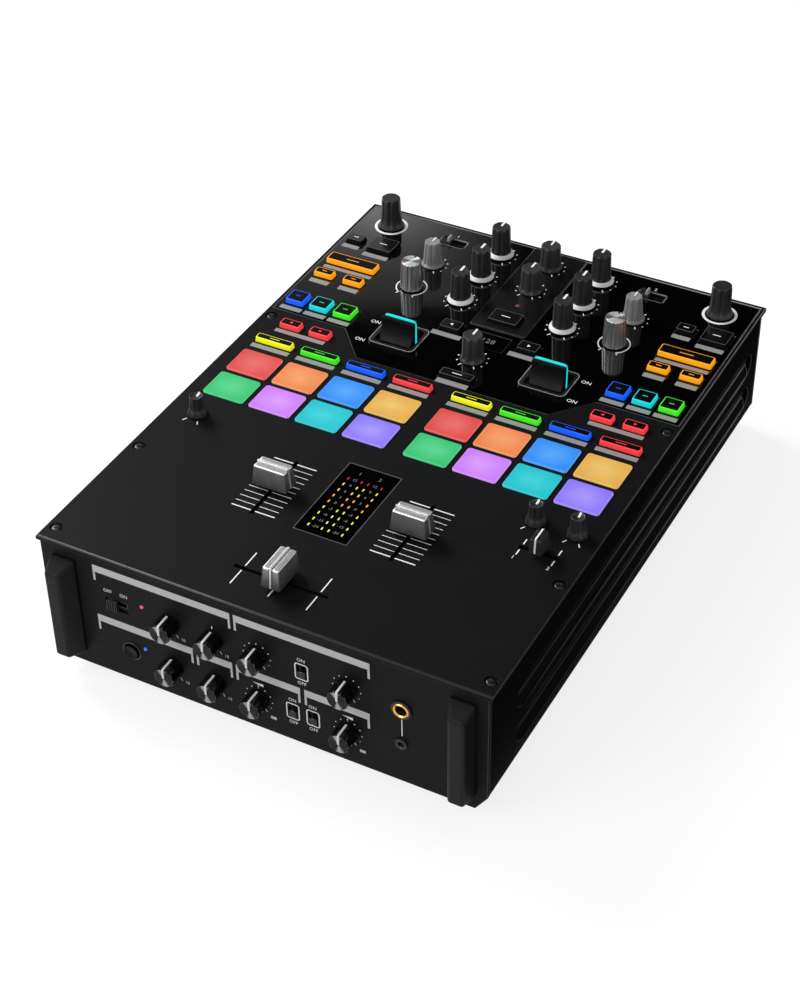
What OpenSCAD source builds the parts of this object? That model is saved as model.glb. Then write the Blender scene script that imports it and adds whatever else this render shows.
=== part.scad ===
// Two-channel mixer for turntables: a flat case with a control plate on top,
// two pad decks, a fader section, a front control panel and rear sockets.
// Origin: centre of the underside of the feet. +X right, +Y back, +Z up. Millimetres.

/* [Case] */
// Width of the top plate
plate_w = 267; // [262:1:340]
// Depth of the top plate, front edge to back edge
plate_d = 373.4; // [370:0.1:460]
// Thickness of the top plate
plate_t = 3; // [2.5:0.1:5]
// Height of the case, from its underside to the face of the top plate
case_h = 81.7; // [76:0.1:120]
// How far the top plate stands over each side panel
side_inset = 2; // [1:0.1:4]
// How far the front and rear panels sit behind the edges of the top plate
face_inset = 0.5; // [0.2:0.1:2]
// Thickness of the side panels
side_t = 6; // [5:0.1:10]
// Thickness of the front and rear panels
face_t = 2; // [1.5:0.1:4]
// Thickness of the floor
floor_t = 1.5; // [1:0.1:3]
// Width of the sloped cut along the bottom of each side
chamfer_w = 7; // [3:0.1:10]
// Height of the sloped cut along the bottom of each side
chamfer_h = 10.5; // [5:0.1:15]
// Height of the feet
foot_h = 7; // [4:0.1:12]
// Radius of the feet
foot_r = 11; // [7:0.1:16]
// Distance of each foot's centre from the edges of the case
foot_edge = 30; // [22:1:60]
// How far the guard handles and the rear posts stand out
reach = 11; // [10.7:0.1:16]
// Depth of the long channels in the side panels
channel_d = 3.5; // [1:0.1:4]

/* [Upper panel] */
// Width of the rim that the top plate leaves around the gloss panel
rim_w = 2.8; // [2:0.1:6]
// Depth of the pocket that holds the gloss panel
pocket_d = 1.2; // [0.8:0.1:1.8]
// Thickness of the gloss panel
gloss_t = 0.9; // [0.5:0.1:1.5]
// Height of the raised centre panel above the gloss panel
centre_t = 0.9; // [0.5:0.1:2]
// Half the width of the raised centre panel
centre_half_w = 17.8; // [14:0.1:20]

/* [Knobs] */
// Radius of every control shaft
shaft_r = 3; // [2:0.05:3.6]
// Radial running clearance of a shaft in its bushing
running_gap = 0.05; // [0.02:0.01:0.1]
// Wall of the bushing around a shaft
bushing_wall = 0.6; // [0.5:0.1:1]
// Gap between the underside of a knob and the face below it
knob_gap = 0.8; // [0.5:0.1:1.5]
// Height of the three-band tone knobs
tone_h = 21.2; // [14:0.1:26]
// Height of the level knobs on the centre line
level_h = 17.1; // [12:0.1:22]
// Height of the small knobs beside the faders
small_h = 13.1; // [10:0.1:20]
// How far the front knobs stand out
front_knob_h = 10.6; // [8:0.1:10.8]

/* [Keys] */
// How far each key and pad travels when pressed
key_travel = 1.2; // [0.5:0.1:2]
// Gap around each key in its hole
key_gap = 0.4; // [0.3:0.05:0.6]
// Height of the lit keys above the top plate
lit_key_h = 3.2; // [3:0.1:6]
// Height of the dark keys above the top plate
dark_key_h = 2.6; // [2:0.1:4]
// Width of one pad
pad_w = 26.4; // [22:0.1:28.4]
// Depth of one pad
pad_d = 21.8; // [18:0.1:23.8]
// Height of the pads above the top plate
pad_h = 1.2; // [1.2:0.1:4]
// Distance between pads across a deck
pad_pitch_x = 30.23; // [29.6:0.01:31]
// Distance between the two rows of pads
pad_pitch_y = 25.45; // [24.9:0.01:27]

/* [Faders] */
// Travel of the channel faders and of the crossfader
fader_travel = 45; // [30:1:50]
// Travel of the small cue fader
cue_travel = 18; // [12:1:20]
// Height of the large fader caps above the top plate
fader_cap_h = 15.8; // [12:0.1:20]
// Thickness of a fader stem
stem_t = 1.6; // [1:0.1:2.5]
// Width of a fader stem along its travel
stem_w = 4; // [3:0.1:6]
// Gap around each stem in its slot
slot_gap = 0.5; // [0.3:0.05:1]
// Swing of the effect levers to each side
lever_swing = 15; // [5:1:16]

/* [Hidden] */
$fn = 48;
cut = 1;            // how far a cutting solid runs past the face that it cuts
seat_gap = 0.15;    // gap around a piece laid in a pocket

// Levels and faces of the case
top_z = foot_h + case_h;
under_z = top_z - plate_t;
floor_z = foot_h + floor_t;
front_y = -plate_d / 2 + face_inset;
rear_y = plate_d / 2 - face_inset;
side_x = plate_w / 2 - side_inset;
inner_x = side_x - side_t;
inner_front = front_y + face_t;
inner_rear = rear_y - face_t;
gloss_z = top_z - pocket_d + gloss_t;
centre_z = gloss_z + centre_t;

// Colours
matte_black = [0.10, 0.10, 0.11];
gloss_black = [0.03, 0.03, 0.035];
knob_black = [0.14, 0.14, 0.15];
knob_grey = [0.45, 0.45, 0.46];
silver = [0.72, 0.72, 0.73];
steel = [0.6, 0.6, 0.62];
soft_white = [0.88, 0.88, 0.86];
board_green = [0.05, 0.35, 0.18];
orange = [0.98, 0.65, 0.08];
blue = [0.10, 0.35, 0.95];
cyan = [0.10, 0.85, 0.92];
green = [0.30, 0.90, 0.15];
red = [0.95, 0.25, 0.28];
yellow = [0.93, 0.93, 0.10];
violet = [0.80, 0.35, 0.75];
indigo = [0.25, 0.25, 0.85];
amber = [0.98, 0.75, 0.25];

// Outline of the gloss panel: its front edge beside the decks and at its nose between them
gloss_front_y = 54;
gloss_nose_y = 30.8;
gloss_step_x = 81.5;
gloss_nose_x = 61.5;
centre_front_y = 92.2;

// Rows and columns of the top controls
knob_rows = [167.6, 139.5, 111.4];
browse_x = 111;
channel_x = 67;
tone_x = 33.75;
depth_y = 60.1;
small_knob_y = -58;
sampler_x = -114;
cue_knob_x = [95.7, 119.7];
lever_x = 48.5;
lever_y = 60.5;
deck_x = 64.5;
pad_y = -2.7;
mode_y = 21;
mode_pitch = 30.5;
fader_x = 42;
fader_y = -95;
crossfader_y = -159.4;
cue_fader_at = [107.6, -79.5];
meter_at = [0, -88.8];
meter_size = [31.6, 61.8];
display_at = [0, 80.4];
display_size = [24, 14.5];
input_window = [16.8, 7.3];
input_travel = 8;
screw_x = plate_w / 2 - 6;
screw_rows = [45.8, -97.5, -176.3];

// Knob shapes: radius at the base, radius at the top, height, radius of the skirt, flutes
browse_shape = [7.9, 6.4, 21, 0, 8];
trim_shape = [7, 5, 16.8, 0, 0];
filter_shape = [7.1, 6.8, 18.5, 0, 10];
tone_shape = [6.4, 5.8, tone_h, 8.1, 8];
level_shape = [7.5, 6.2, level_h, 0, 8];
small_shape = [5.6, 4.2, small_h, 0, 8];
front_shape = [6.3, 6.1, front_knob_h, 0, 0];

// Controls on the front panel: distance from the centre line, depth below the top face
mic_level_at = [-53.2, -29.8];
mic_high_at = [-26.6, -29.8];
mic_low_at = [-0.3, -29.8];
crossfader_curve_at = [52.2, -29.8];
wireless_level_at = [-53.4, -60.5];
left_curve_at = [-27, -60.5];
right_curve_at = [-0.8, -60.5];
fader_curve_at = [52, -60.5];
front_knobs = [mic_level_at, mic_high_at, mic_low_at, crossfader_curve_at,
               wireless_level_at, left_curve_at, right_curve_at, fader_curve_at];
mic_switch_at = [-86, -31];
mic_window = [14, 8];
mic_travel = 5;
reverse_at = [[26, -30], [19.5, -60.7], [31.5, -60.7]];
reverse_window = [5.6, 8.5];
reverse_travel = 3.5;
pairing_at = [-79.7, -60.5];
pairing_r = 4.6;
front_lights = [[-70.1, -25.3], [-70.9, -55.7]];
light_r = 1.2;
phones_at = [83.4, -30.5];
mini_phones_at = [83, -54.5];
phones_bore_r = 3.3;
mini_bore_r = 1.85;
phones_nose_r = 5.7;
mini_nose_r = 3.4;
phones_depth = 32;
mini_depth = 15;

// Sockets on the rear panel
rear_row_high = -26;
rear_row_low = -58;
xlr_x = [-52, -20];
xlr_shell_r = 9.6;
xlr_bore_r = 8.4;
xlr_depth = 15;
booth_x = [8, 26];
mic_socket_x = -96;
rca_x = [-76, -56, -36, -16];
rca_pair_gap = 14;
rca_lift = 6;
rca_r = 4.15;
rca_length = 9.5;
rca_bore_r = 1.7;
rca_collar_r = rca_r + 0.5;
ground_x = [2, 16];
usb_x = [80, 104];
usb_cavity = [8.6, 8.2];
usb_depth = 12;
inlet_at = [102, rear_row_low];
inlet_cavity = [24.4, 16.6];
inlet_depth = 19;
power_x = 66;
power_size = [13, 8];
rear_screw_rows = [-10, -66];

// Levels inside the case
unit_h = 9;                          // height of the pot bodies and so of the gap over the board
board_t = 1.6;
control_board_z = under_z - unit_h - board_t;
main_board_z = floor_z + 8;
pot_w = 10;
bushing_r = shaft_r + running_gap + bushing_wall;
bushing_hole_r = bushing_r + 0.1;
bushing_rise = 2;
shaft_end = plate_t + 6;
recess_r = bushing_r + 0.7;
recess_h = bushing_rise + 0.6;
switch_h = 3.4;
plunger_end = unit_h - switch_h - key_travel - 0.4;  // length of a plunger under the plate
flange_t = 1;
flange_w = 0.6;
unit_w = 12;
fader_unit_h = 13;
stem_end = 9;
large_cap_base = [11.4, 21.5];
large_cap_crown = [9.3, 19];
large_cap_lift = 3;
cue_cap_base = [7.4, 10.5];
cue_cap_crown = [6.4, 9.5];
cue_cap_h = 12.4;
cue_cap_lift = 2.5;
lever_well = [27.6, 23.4];
lever_bezel_w = 1.4;
lever_well_h = 16;
lever_pivot_z = -7;
lever_w = 21;
lever_h = 12.8;
lever_pin_r = 2;

// ---------- 2D and placing helpers ----------

module rounded(w, d, r) {
    square([w - 2 * r, d], center = true);
    square([w, d - 2 * r], center = true);
    for (x = [-1, 1], y = [-1, 1])
        translate([x * (w / 2 - r), y * (d / 2 - r)]) circle(r = r);
}

module slab(w, d, h) {
    translate([-w / 2, -d / 2, 0]) cube([w, d, h]);
}

// Block that tapers from one rectangle at z = 0 to another at z = h
module frustum(base, crown, h) {
    corners = [[-1, -1], [1, -1], [1, 1], [-1, 1]];
    polyhedron(
        points = concat(
            [for (c = corners) [c[0] * base[0] / 2, c[1] * base[1] / 2, 0]],
            [for (c = corners) [c[0] * crown[0] / 2, c[1] * crown[1] / 2, h]]),
        faces = [[0, 1, 2, 3], [7, 6, 5, 4], [4, 5, 1, 0], [5, 6, 2, 1], [6, 7, 3, 2], [7, 4, 0, 3]]);
}

module on_top(x, y) {
    translate([x, y, top_z]) children();
}

module on_front(at) {
    translate([at[0], front_y, top_z + at[1]]) rotate([90, 0, 0]) children();
}

module on_rear(at) {
    translate([at[0], rear_y, top_z + at[1]]) rotate([90, 0, 180]) children();
}

// ---------- lists of places shared by the plate, the boards and the keys ----------

function both(list) = [for (p = list, s = [-1, 1]) [s * p[0], p[1]]];
lit_keys = [
    [110.4, 116.1, 33.5, 9.2],
    [120.4, 98.5, 13, 6.6],
    [100.3, 98.5, 13, 6.6],
    [121.1, 67.4, 12.3, 11.7],
    [104.9, 67.4, 12.3, 11.7],
    [88.6, 67.4, 12.3, 11.7],
    [110.4, 40.6, 13.6, 6.9],
    [90.6, 40.6, 13.6, 6.9]
];
left_dark_keys = [
    [-122.3, 142.3, 11, 7.7],
    [-103.2, 142.4, 16.8, 14.5]
];
dark_key_shift = 222;   // from the dark keys of the left deck to those of the right deck
mid_keys = [
    [0, 104.5, 18.7, 12.5],
    [-25.2, 83, 13, 8.8],
    [25.2, 83, 13, 8.8],
    [0.3, 39.2, 21, 6.8]
];
function dark_keys(s) = [for (k = left_dark_keys)
    [k[0] + (s > 0 ? dark_key_shift : 0), k[1], k[2], k[3]]];
function mode_keys(s) = [for (i = [0:3]) [s * deck_x + (i - 1.5) * mode_pitch, mode_y, 24.4, 5.6]];
function pads(s) = [for (row = [0, 1], i = [0:3])
    [s * deck_x + (i - 1.5) * pad_pitch_x, pad_y - row * pad_pitch_y, pad_w, pad_d]];
function mirrored(list, s) = [for (k = list) [s * k[0], k[1], k[2], k[3]]];
all_keys = concat(
    mirrored(lit_keys, -1), mirrored(lit_keys, 1),
    dark_keys(-1), dark_keys(1),
    mid_keys, mode_keys(-1), mode_keys(1), pads(-1), pads(1));
top_pots = concat(
    both([[browse_x, knob_rows[0]]]),
    both([for (y = [knob_rows[1], knob_rows[2]]) [channel_x, y]]),
    both([for (y = knob_rows) [tone_x, y]]),
    [[0, knob_rows[0]], [0, knob_rows[1]], [0, depth_y], [sampler_x, small_knob_y]],
    [for (x = cue_knob_x) [x, small_knob_y]]);
fader_slots = [
    [-fader_x, fader_y, 90, fader_travel],
    [fader_x, fader_y, 90, fader_travel],
    [0, crossfader_y, 0, fader_travel + 5.6],
    [cue_fader_at[0], cue_fader_at[1], 0, cue_travel]
];

// ---------- cut-outs shared by the top plate and the panels laid on it ----------

module key_holes() {
    for (k = all_keys)
        translate([k[0], k[1]]) square([k[2] + 2 * key_gap, k[3] + 2 * key_gap], center = true);
}

module control_holes() {
    key_holes();
    for (p = top_pots) translate(p) circle(r = bushing_hole_r);
    for (s = [-1, 1]) {
        translate([s * lever_x, lever_y]) rounded(lever_well[0], lever_well[1], 3);
        translate([s * channel_x, knob_rows[0]]) rounded(input_window[0], input_window[1], 1);
    }
    translate([0, 120.5]) circle(r = light_r + seat_gap);
}

module fader_holes() {
    for (f = fader_slots)
        translate([f[0], f[1]]) rotate(f[2])
            rounded(f[3] + stem_w + 2 * slot_gap, stem_t + 2 * slot_gap, 0.6);
}

// Outline of the gloss panel, grown by a margin
module upper_outline(m = 0) {
    x = plate_w / 2 - rim_w + m;
    y = plate_d / 2 - rim_w + m;
    polygon([
        [-x, gloss_front_y - m], [-gloss_step_x - m, gloss_front_y - m],
        [-gloss_nose_x - m, gloss_nose_y - m], [gloss_nose_x + m, gloss_nose_y - m],
        [gloss_step_x + m, gloss_front_y - m], [x, gloss_front_y - m],
        [x, y], [-x, y]
    ]);
}

module centre_outline() {
    back = plate_d / 2 - rim_w - seat_gap;
    translate([0, (centre_front_y + back) / 2])
        rounded(2 * centre_half_w, back - centre_front_y, 1.5);
}

// ---------- case ----------

module top_plate() {
    color(matte_black) difference() {
        translate([0, 0, under_z]) linear_extrude(plate_t) difference() {
            square([plate_w, plate_d], center = true);
            control_holes();
            fader_holes();
            translate(meter_at) square(meter_size - [5, 5], center = true);
            translate(display_at) square(display_size - [3, 3], center = true);
            for (s = [-1, 1], y = screw_rows) translate([s * screw_x, y]) circle(r = 1.6);
        }
        translate([0, 0, top_z - pocket_d]) linear_extrude(pocket_d + cut) upper_outline(seat_gap);
        translate([meter_at[0], meter_at[1], top_z - pocket_d])
            slab(meter_size[0], meter_size[1], pocket_d + cut);
        for (s = [-1, 1], y = screw_rows)
            translate([s * screw_x, y, top_z - 1.2]) cylinder(r = 3.65, h = 1.2 + cut);
    }
}

module upper_panels() {
    color(gloss_black) translate([0, 0, top_z - pocket_d]) linear_extrude(gloss_t) difference() {
        upper_outline();
        control_holes();
        translate(display_at) square(display_size, center = true);
    }
    color(matte_black) translate([0, 0, gloss_z]) linear_extrude(centre_t) difference() {
        centre_outline();
        control_holes();
    }
}

// Section of a side panel, seen from the front: thin beside the keys, thick where the
// channels are, with a sloped lower edge
module side_section() {
    slope_z = foot_h + chamfer_h;
    step_z = top_z - side_step;
    polygon([
        [side_x, under_z], [side_x, slope_z], [side_x - chamfer_w, foot_h],
        [inner_x - chamfer_w, foot_h], [inner_x, slope_z],
        [inner_x, step_z], [side_x - side_thin, step_z + 3], [side_x - side_thin, under_z]
    ]);
}

// One long channel with round ends, a flat floor and a sloped lower wall
module side_channel(z_top, z_bottom) {
    back = rear_y - 12;
    front = front_y + 32;
    tall = z_top - z_bottom;
    intersection() {
        translate([0, back, 0]) rotate([90, 0, 0]) linear_extrude(back - front)
            polygon([
                [side_x + cut, z_top], [side_x - channel_d, z_top],
                [side_x - channel_d, z_bottom + 5], [side_x, z_bottom], [side_x + cut, z_bottom]
            ]);
        translate([side_x - channel_d - cut, (front + back) / 2, (z_top + z_bottom) / 2])
            rotate([90, 0, 90]) linear_extrude(channel_d + 2 * cut)
                rounded(back - front, tall, tall / 2 - 0.1);
    }
}

side_step = 19;         // depth below the top face where the side panel's wall thickens
side_thin = 2.6;        // its wall above that step
groove_tops = [top_z - 23.7, top_z - 47.9];
groove_tall = 16.1;
side_screw_rows = [-101.9, 11.9, 125.3];
side_screw_z = top_z - 27.8;

module side_panel() {
    difference() {
        union() {
            translate([0, inner_rear, 0]) rotate([90, 0, 0]) linear_extrude(inner_rear - inner_front)
                side_section();
            for (y = screw_rows) translate([screw_x, y, under_z - 10])
                translate([-3.5, -3.5, 0]) cube([side_x - screw_x + 2.5, 7, 10]);
        }
        for (z = groove_tops) side_channel(z, z - groove_tall);
        for (y = side_screw_rows)
            translate([side_x, y, side_screw_z]) rotate([0, -90, 0]) cylinder(r = 1.1, h = side_t + cut);
        for (y = screw_rows) translate([screw_x, y, under_z - 9]) cylinder(r = 1.6, h = 9 + cut);
    }
}

module side_panels() {
    color(matte_black) {
        side_panel();
        mirror([1, 0, 0]) side_panel();
    }
}

module bottom_pan() {
    half = inner_x - chamfer_w;
    color(matte_black) difference() {
        translate([-half, inner_front, foot_h]) cube([2 * half, inner_rear - inner_front, floor_t]);
        for (x = [-1, 1], y = [-1, 1])
            translate([x * (side_x - foot_edge), y * (rear_y - foot_edge), foot_h - cut])
                cylinder(r = 2, h = floor_t + 2 * cut);
    }
}

// Outline shared by the front and rear panels
module face_outline() {
    slope = -case_h + chamfer_h;
    polygon([
        [-side_x, -plate_t], [-side_x, slope], [-side_x + chamfer_w, -case_h],
        [side_x - chamfer_w, -case_h], [side_x, slope], [side_x, -plate_t]
    ]);
}

module front_panel() {
    color(matte_black) translate([0, inner_front, top_z]) rotate([90, 0, 0])
        linear_extrude(face_t) difference() {
            face_outline();
            for (p = front_knobs) translate(p) circle(r = bushing_hole_r);
            translate(mic_switch_at) rounded(mic_window[0], mic_window[1], 1);
            for (p = reverse_at) translate(p) rounded(reverse_window[0], reverse_window[1], 1);
            translate(pairing_at) circle(r = pairing_r + key_gap);
            for (p = front_lights) translate(p) circle(r = light_r + seat_gap);
            translate(phones_at) circle(r = phones_nose_r + seat_gap);
            translate(mini_phones_at) circle(r = mini_nose_r + seat_gap);
        }
}

module rear_panel() {
    color(matte_black) translate([0, rear_y, top_z]) rotate([90, 0, 0])
        linear_extrude(face_t) difference() {
            face_outline();
            for (x = xlr_x) translate([x, rear_row_low]) circle(r = xlr_shell_r + seat_gap);
            for (x = booth_x) translate([x, rear_row_low]) circle(r = phones_nose_r + seat_gap);
            translate([mic_socket_x, rear_row_low]) circle(r = phones_nose_r + seat_gap);
            for (x = rca_x, y = [0, -rca_pair_gap])
                translate([x, rear_row_high + rca_lift + y]) circle(r = rca_collar_r + seat_gap);
            for (x = ground_x) translate([x, rear_row_high]) circle(r = 2.6);
            for (x = usb_x) translate([x, rear_row_high])
                square([usb_cavity[0] + 2.6, usb_cavity[1] + 2.6], center = true);
            translate(inlet_at) square(inlet_cavity + [3.4, 3.4], center = true);
            translate([power_x, rear_row_low])
                square([power_size[0] + 2 * key_gap, power_size[1] + 2 * key_gap], center = true);
            for (x = [-1, 1], z = rear_screw_rows) translate([x * (side_x - 5), z]) circle(r = 1.1);
        }
}

// Guard handle: a tapered bar that stands out past the front knobs
module front_handle() {
    base = [109.5, 125];
    crest = [114.3, 123];
    base_z = [top_z - case_h + 8, top_z - 8.2];
    crest_z = [base_z[0] + 1.5, base_z[1] - 5.7];
    y = [front_y, front_y - reach];
    polyhedron(
        points = [
            [base[0], y[0], base_z[0]], [base[1], y[0], base_z[0]],
            [base[1], y[0], base_z[1]], [base[0], y[0], base_z[1]],
            [crest[0], y[1], crest_z[0]], [crest[1], y[1], crest_z[0]],
            [crest[1], y[1], crest_z[1]], [crest[0], y[1], crest_z[1]]
        ],
        faces = [[3, 2, 1, 0], [4, 5, 6, 7], [0, 1, 5, 4], [1, 2, 6, 5], [2, 3, 7, 6], [3, 0, 4, 7]]);
}

module front_handles() {
    color(matte_black) {
        front_handle();
        mirror([1, 0, 0]) front_handle();
    }
}

module feet() {
    color(knob_black)
        for (x = [-1, 1], y = [-1, 1])
            translate([x * (side_x - foot_edge), y * (rear_y - foot_edge), 0]) {
                cylinder(r1 = foot_r - 1, r2 = foot_r, h = foot_h);
                translate([0, 0, foot_h]) cylinder(r = 1.9, h = floor_t + 1);
            }
}

// ---------- fasteners ----------

module screw(head_r, head_h, shank_r, shank_h) {
    difference() {
        cylinder(r = head_r, h = head_h);
        for (a = [0, 90]) rotate(a) translate([0, 0, head_h - 0.5])
            slab(head_r * 1.2, 0.7, 0.5 + cut);
    }
    translate([0, 0, -shank_h]) cylinder(r = shank_r, h = shank_h + head_h / 2);
}

board_posts = [[-115, -43.2], [115, -43.2], [-60, -43.2], [60, -43.2], [-50, 150], [50, 150]];
main_posts = [[-100, -90], [-100, 120], [30, -90], [30, 120]];

module fasteners() {
    color(steel) {
        for (s = [-1, 1], y = screw_rows)
            translate([s * screw_x, y, top_z - 1.2]) screw(2.75, 1.1, 1.5, 9);
        for (s = [-1, 1], y = side_screw_rows)
            translate([s * (side_x - channel_d), y, side_screw_z]) rotate([0, s * 90, 0])
                screw(1.7, 0.9, 1, side_t - channel_d);
        for (x = [-1, 1], z = rear_screw_rows)
            on_rear([x * (side_x - 5), z]) screw(2.5, 1, 1, face_t - 0.1);
    }
    color(silver) {
        for (p = board_posts) translate([p[0], p[1], control_board_z + board_t])
            cylinder(r = 2.5, h = unit_h);
        for (p = main_posts) translate([p[0], p[1], floor_z]) cylinder(r = 3, h = 8);
        for (x = [55, 112], y = [70, 140]) translate([x, y, floor_z]) cylinder(r = 3, h = 5);
    }
}

// ---------- pieces inside the case ----------

// Control board under the top plate, with its key switches
module control_board() {
    back = inner_rear - 6;
    front = -46;
    half = inner_x - 4;
    color(board_green) difference() {
        translate([-half, front, control_board_z]) cube([2 * half, back - front, board_t]);
        for (s = [-1, 1]) translate([s * lever_x, lever_y, control_board_z - cut])
            slab(lever_well[0] + 10, lever_well[1] + 4, board_t + 2 * cut);
    }
    color(steel) for (k = all_keys)
        translate([k[0], k[1], control_board_z + board_t]) slab(5.8, 5.8, switch_h);
}

// Main board on the floor, with its processors and capacitors
module main_board() {
    color(board_green) translate([-108, -98, main_board_z]) cube([146, 226, board_t]);
    chips = [[-70, 60, 24], [-20, 60, 18], [-70, -20, 14], [-20, -20, 14], [10, 20, 10]];
    color(knob_black) for (c = chips)
        translate([c[0], c[1], main_board_z + board_t]) slab(c[2], c[2], 1.8);
    color(steel) for (x = [-95 : 16 : 20])
        translate([x, 108, main_board_z + board_t]) cylinder(r = 4, h = 11);
}

// Board behind the front panel, carried by the bodies of the front controls
module front_board() {
    color(board_green) translate([-98, inner_front + unit_h, top_z - 70])
        cube([164, board_t, 50]);
}

module circuit_boards() {
    control_board();
    main_board();
    front_board();
}

// Body and bushing of one rotary control; its panel's inner face is at z = 0
module pot(panel_t) {
    difference() {
        union() {
            translate([0, 0, -unit_h]) slab(pot_w, pot_w, unit_h);
            cylinder(r = bushing_r, h = panel_t + bushing_rise);
        }
        translate([0, 0, panel_t - shaft_end - 0.5])
            cylinder(r = shaft_r + running_gap, h = shaft_end + bushing_rise + cut);
    }
}

module potentiometers() {
    color(steel) {
        for (p = top_pots) translate([p[0], p[1], under_z]) pot(plate_t);
        for (p = front_knobs) translate([p[0], inner_front, top_z + p[1]])
            rotate([90, 0, 0]) pot(face_t);
    }
}

// Body of a sliding control, open along its slot; its panel's inner face is at z = 0
module slide_unit(body_l, body_h, travel, w = stem_w, t = stem_t) {
    difference() {
        translate([0, 0, -body_h]) slab(body_l, unit_w, body_h);
        translate([0, 0, 1 - body_h])
            slab(travel + w + 2 * slot_gap, t + 2 * slot_gap, body_h);
    }
}

// Well, bezel and pivot ears of an effect lever; the top plate's face is at z = 0
module lever_unit() {
    wall = 1.2;
    inner = [lever_well[0] - 2 * wall - 0.4, lever_well[1] - 2 * wall - 0.4];
    lip = pocket_d - gloss_t;
    difference() {
        union() {
            translate([0, 0, -lever_well_h]) linear_extrude(lever_well_h + 0.5)
                rounded(lever_well[0] - 0.4, lever_well[1] - 0.4, 2.8);
            translate([0, 0, -lip]) linear_extrude(lip + 0.8)
                rounded(lever_well[0] + 2 * lever_bezel_w, lever_well[1] + 2 * lever_bezel_w, 4);
        }
        translate([0, 0, 1.2 - lever_well_h]) linear_extrude(lever_well_h + cut)
            rounded(inner[0], inner[1], 1.8);
        translate([0, 0, lever_pivot_z]) rotate([0, 90, 0])
            cylinder(r = lever_pin_r + running_gap, h = lever_well[0] + 8, center = true);
    }
    // Blind ears that hold the pivot pins
    for (s = [-1, 1]) translate([s * (lever_well[0] / 2 - 0.3), 0, lever_pivot_z]) rotate([0, s * 90, 0])
        difference() {
            cylinder(r = 3.6, h = 2.4);
            translate([0, 0, -cut]) cylinder(r = lever_pin_r + running_gap, h = cut + 1.5);
        }
}

module fader_and_lever_units() {
    color(steel) {
        for (f = fader_slots) translate([f[0], f[1], under_z]) rotate(f[2])
            slide_unit(f[3] + 18, fader_unit_h - plate_t, f[3]);
        for (s = [-1, 1]) translate([s * channel_x, knob_rows[0], under_z])
            slide_unit(22, unit_h, input_travel);
        translate([mic_switch_at[0], inner_front, top_z + mic_switch_at[1]]) rotate([90, 0, 0])
            slide_unit(19, unit_h, mic_travel);
        for (p = reverse_at) translate([p[0], inner_front, top_z + p[1]])
            rotate([90, 0, 0]) intersection() {
                rotate(90) slide_unit(13, unit_h, reverse_travel);
                translate([0, 0, -20]) slab(9, 14, 21);
            }
    }
    color(gloss_black) for (s = [-1, 1]) on_top(s * lever_x, lever_y) lever_unit();
}

module power_supply() {
    color(board_green) translate([48, 62, floor_z + 5]) cube([72, 86, board_t]);
    color(knob_grey) translate([62, 72, floor_z + 5 + board_t]) cube([34, 30, 26]);
    color(steel) {
        translate([102, 70, floor_z + 5 + board_t]) cube([3, 70, 24]);
        for (y = [118, 136]) translate([64, y, floor_z + 5 + board_t]) cylinder(r = 7, h = 24);
    }
}

// ---------- displays and lights ----------

light_columns = [-10.2, -2, 2, 10.2];
light_rows = 9;
light_pitch = 5.41;

module displays_and_lights() {
    pane_t = pocket_d - 0.1;
    color(gloss_black) translate([meter_at[0], meter_at[1], top_z - pocket_d])
        slab(meter_size[0] - 2 * seat_gap, meter_size[1] - 2 * seat_gap, pane_t);
    color(gloss_black) translate([display_at[0], display_at[1], top_z - pocket_d])
        slab(display_size[0] - 2 * seat_gap, display_size[1] - 2 * seat_gap, gloss_t);
    color(board_green) translate([meter_at[0], meter_at[1], under_z - board_t])
        slab(meter_size[0] + 3, meter_size[1] + 3, board_t);
    color(yellow) for (x = light_columns, i = [0 : light_rows - 1])
        translate([meter_at[0] + x, meter_at[1] + (i - 4) * light_pitch - 3.1, under_z])
            slab(1.5, 3.2, plate_t - pocket_d - 0.1);
    color(cyan) translate([display_at[0], display_at[1], control_board_z + board_t])
        slab(display_size[0] - 4, display_size[1] - 4, unit_h + plate_t - pocket_d - 0.1);
    color(red) translate([0, 120.5, control_board_z + board_t])
        cylinder(r = light_r, h = centre_z - control_board_z - board_t);
    for (i = [0, 1]) color([red, blue][i])
        translate([front_lights[i][0], inner_front + unit_h, top_z + front_lights[i][1]])
            rotate([90, 0, 0]) cylinder(r = light_r, h = unit_h + face_t + 0.3);
}

// ---------- sockets ----------

// Round jack: body behind the panel and a nose through it; the panel's outer face is at z = 0
module jack(nose_r, bore_r, depth, body_w) {
    difference() {
        union() {
            translate([0, 0, -face_t - depth]) slab(body_w, body_w, depth);
            translate([0, 0, -face_t - 1]) cylinder(r = nose_r, h = face_t + 2);
        }
        translate([0, 0, 2 - depth]) cylinder(r = bore_r, h = depth + cut);
    }
}

// Output socket: a round shell with three pins inside
module xlr() {
    difference() {
        union() {
            translate([0, 0, -face_t - 1]) cylinder(r = xlr_shell_r, h = face_t + 1.2);
            translate([0, 0, -face_t - xlr_depth]) cylinder(r = xlr_shell_r + 2, h = xlr_depth);
            slab(26, 31, 1.2);
        }
        translate([0, 0, -xlr_depth]) cylinder(r = xlr_bore_r, h = xlr_depth + 4);
    }
    for (a = [90, 210, 330]) rotate(a) translate([3.6, 0, -xlr_depth - 0.5])
        cylinder(r = 1.2, h = xlr_depth - 6);
}

module box_socket(cavity, depth, wall) {
    difference() {
        translate([0, 0, -face_t - depth])
            slab(cavity[0] + 2 * wall, cavity[1] + 2 * wall, depth + face_t + 0.6);
        translate([0, 0, -depth]) slab(cavity[0], cavity[1], depth + cut);
    }
}

module inlet() {
    box_socket(inlet_cavity, inlet_depth, 1.6);
    for (p = [[-7, -2.5], [7, -2.5], [0, 2.5]])
        translate([p[0], p[1], -inlet_depth - 0.5]) slab(2, 4.5, inlet_depth - 6);
}

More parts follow.
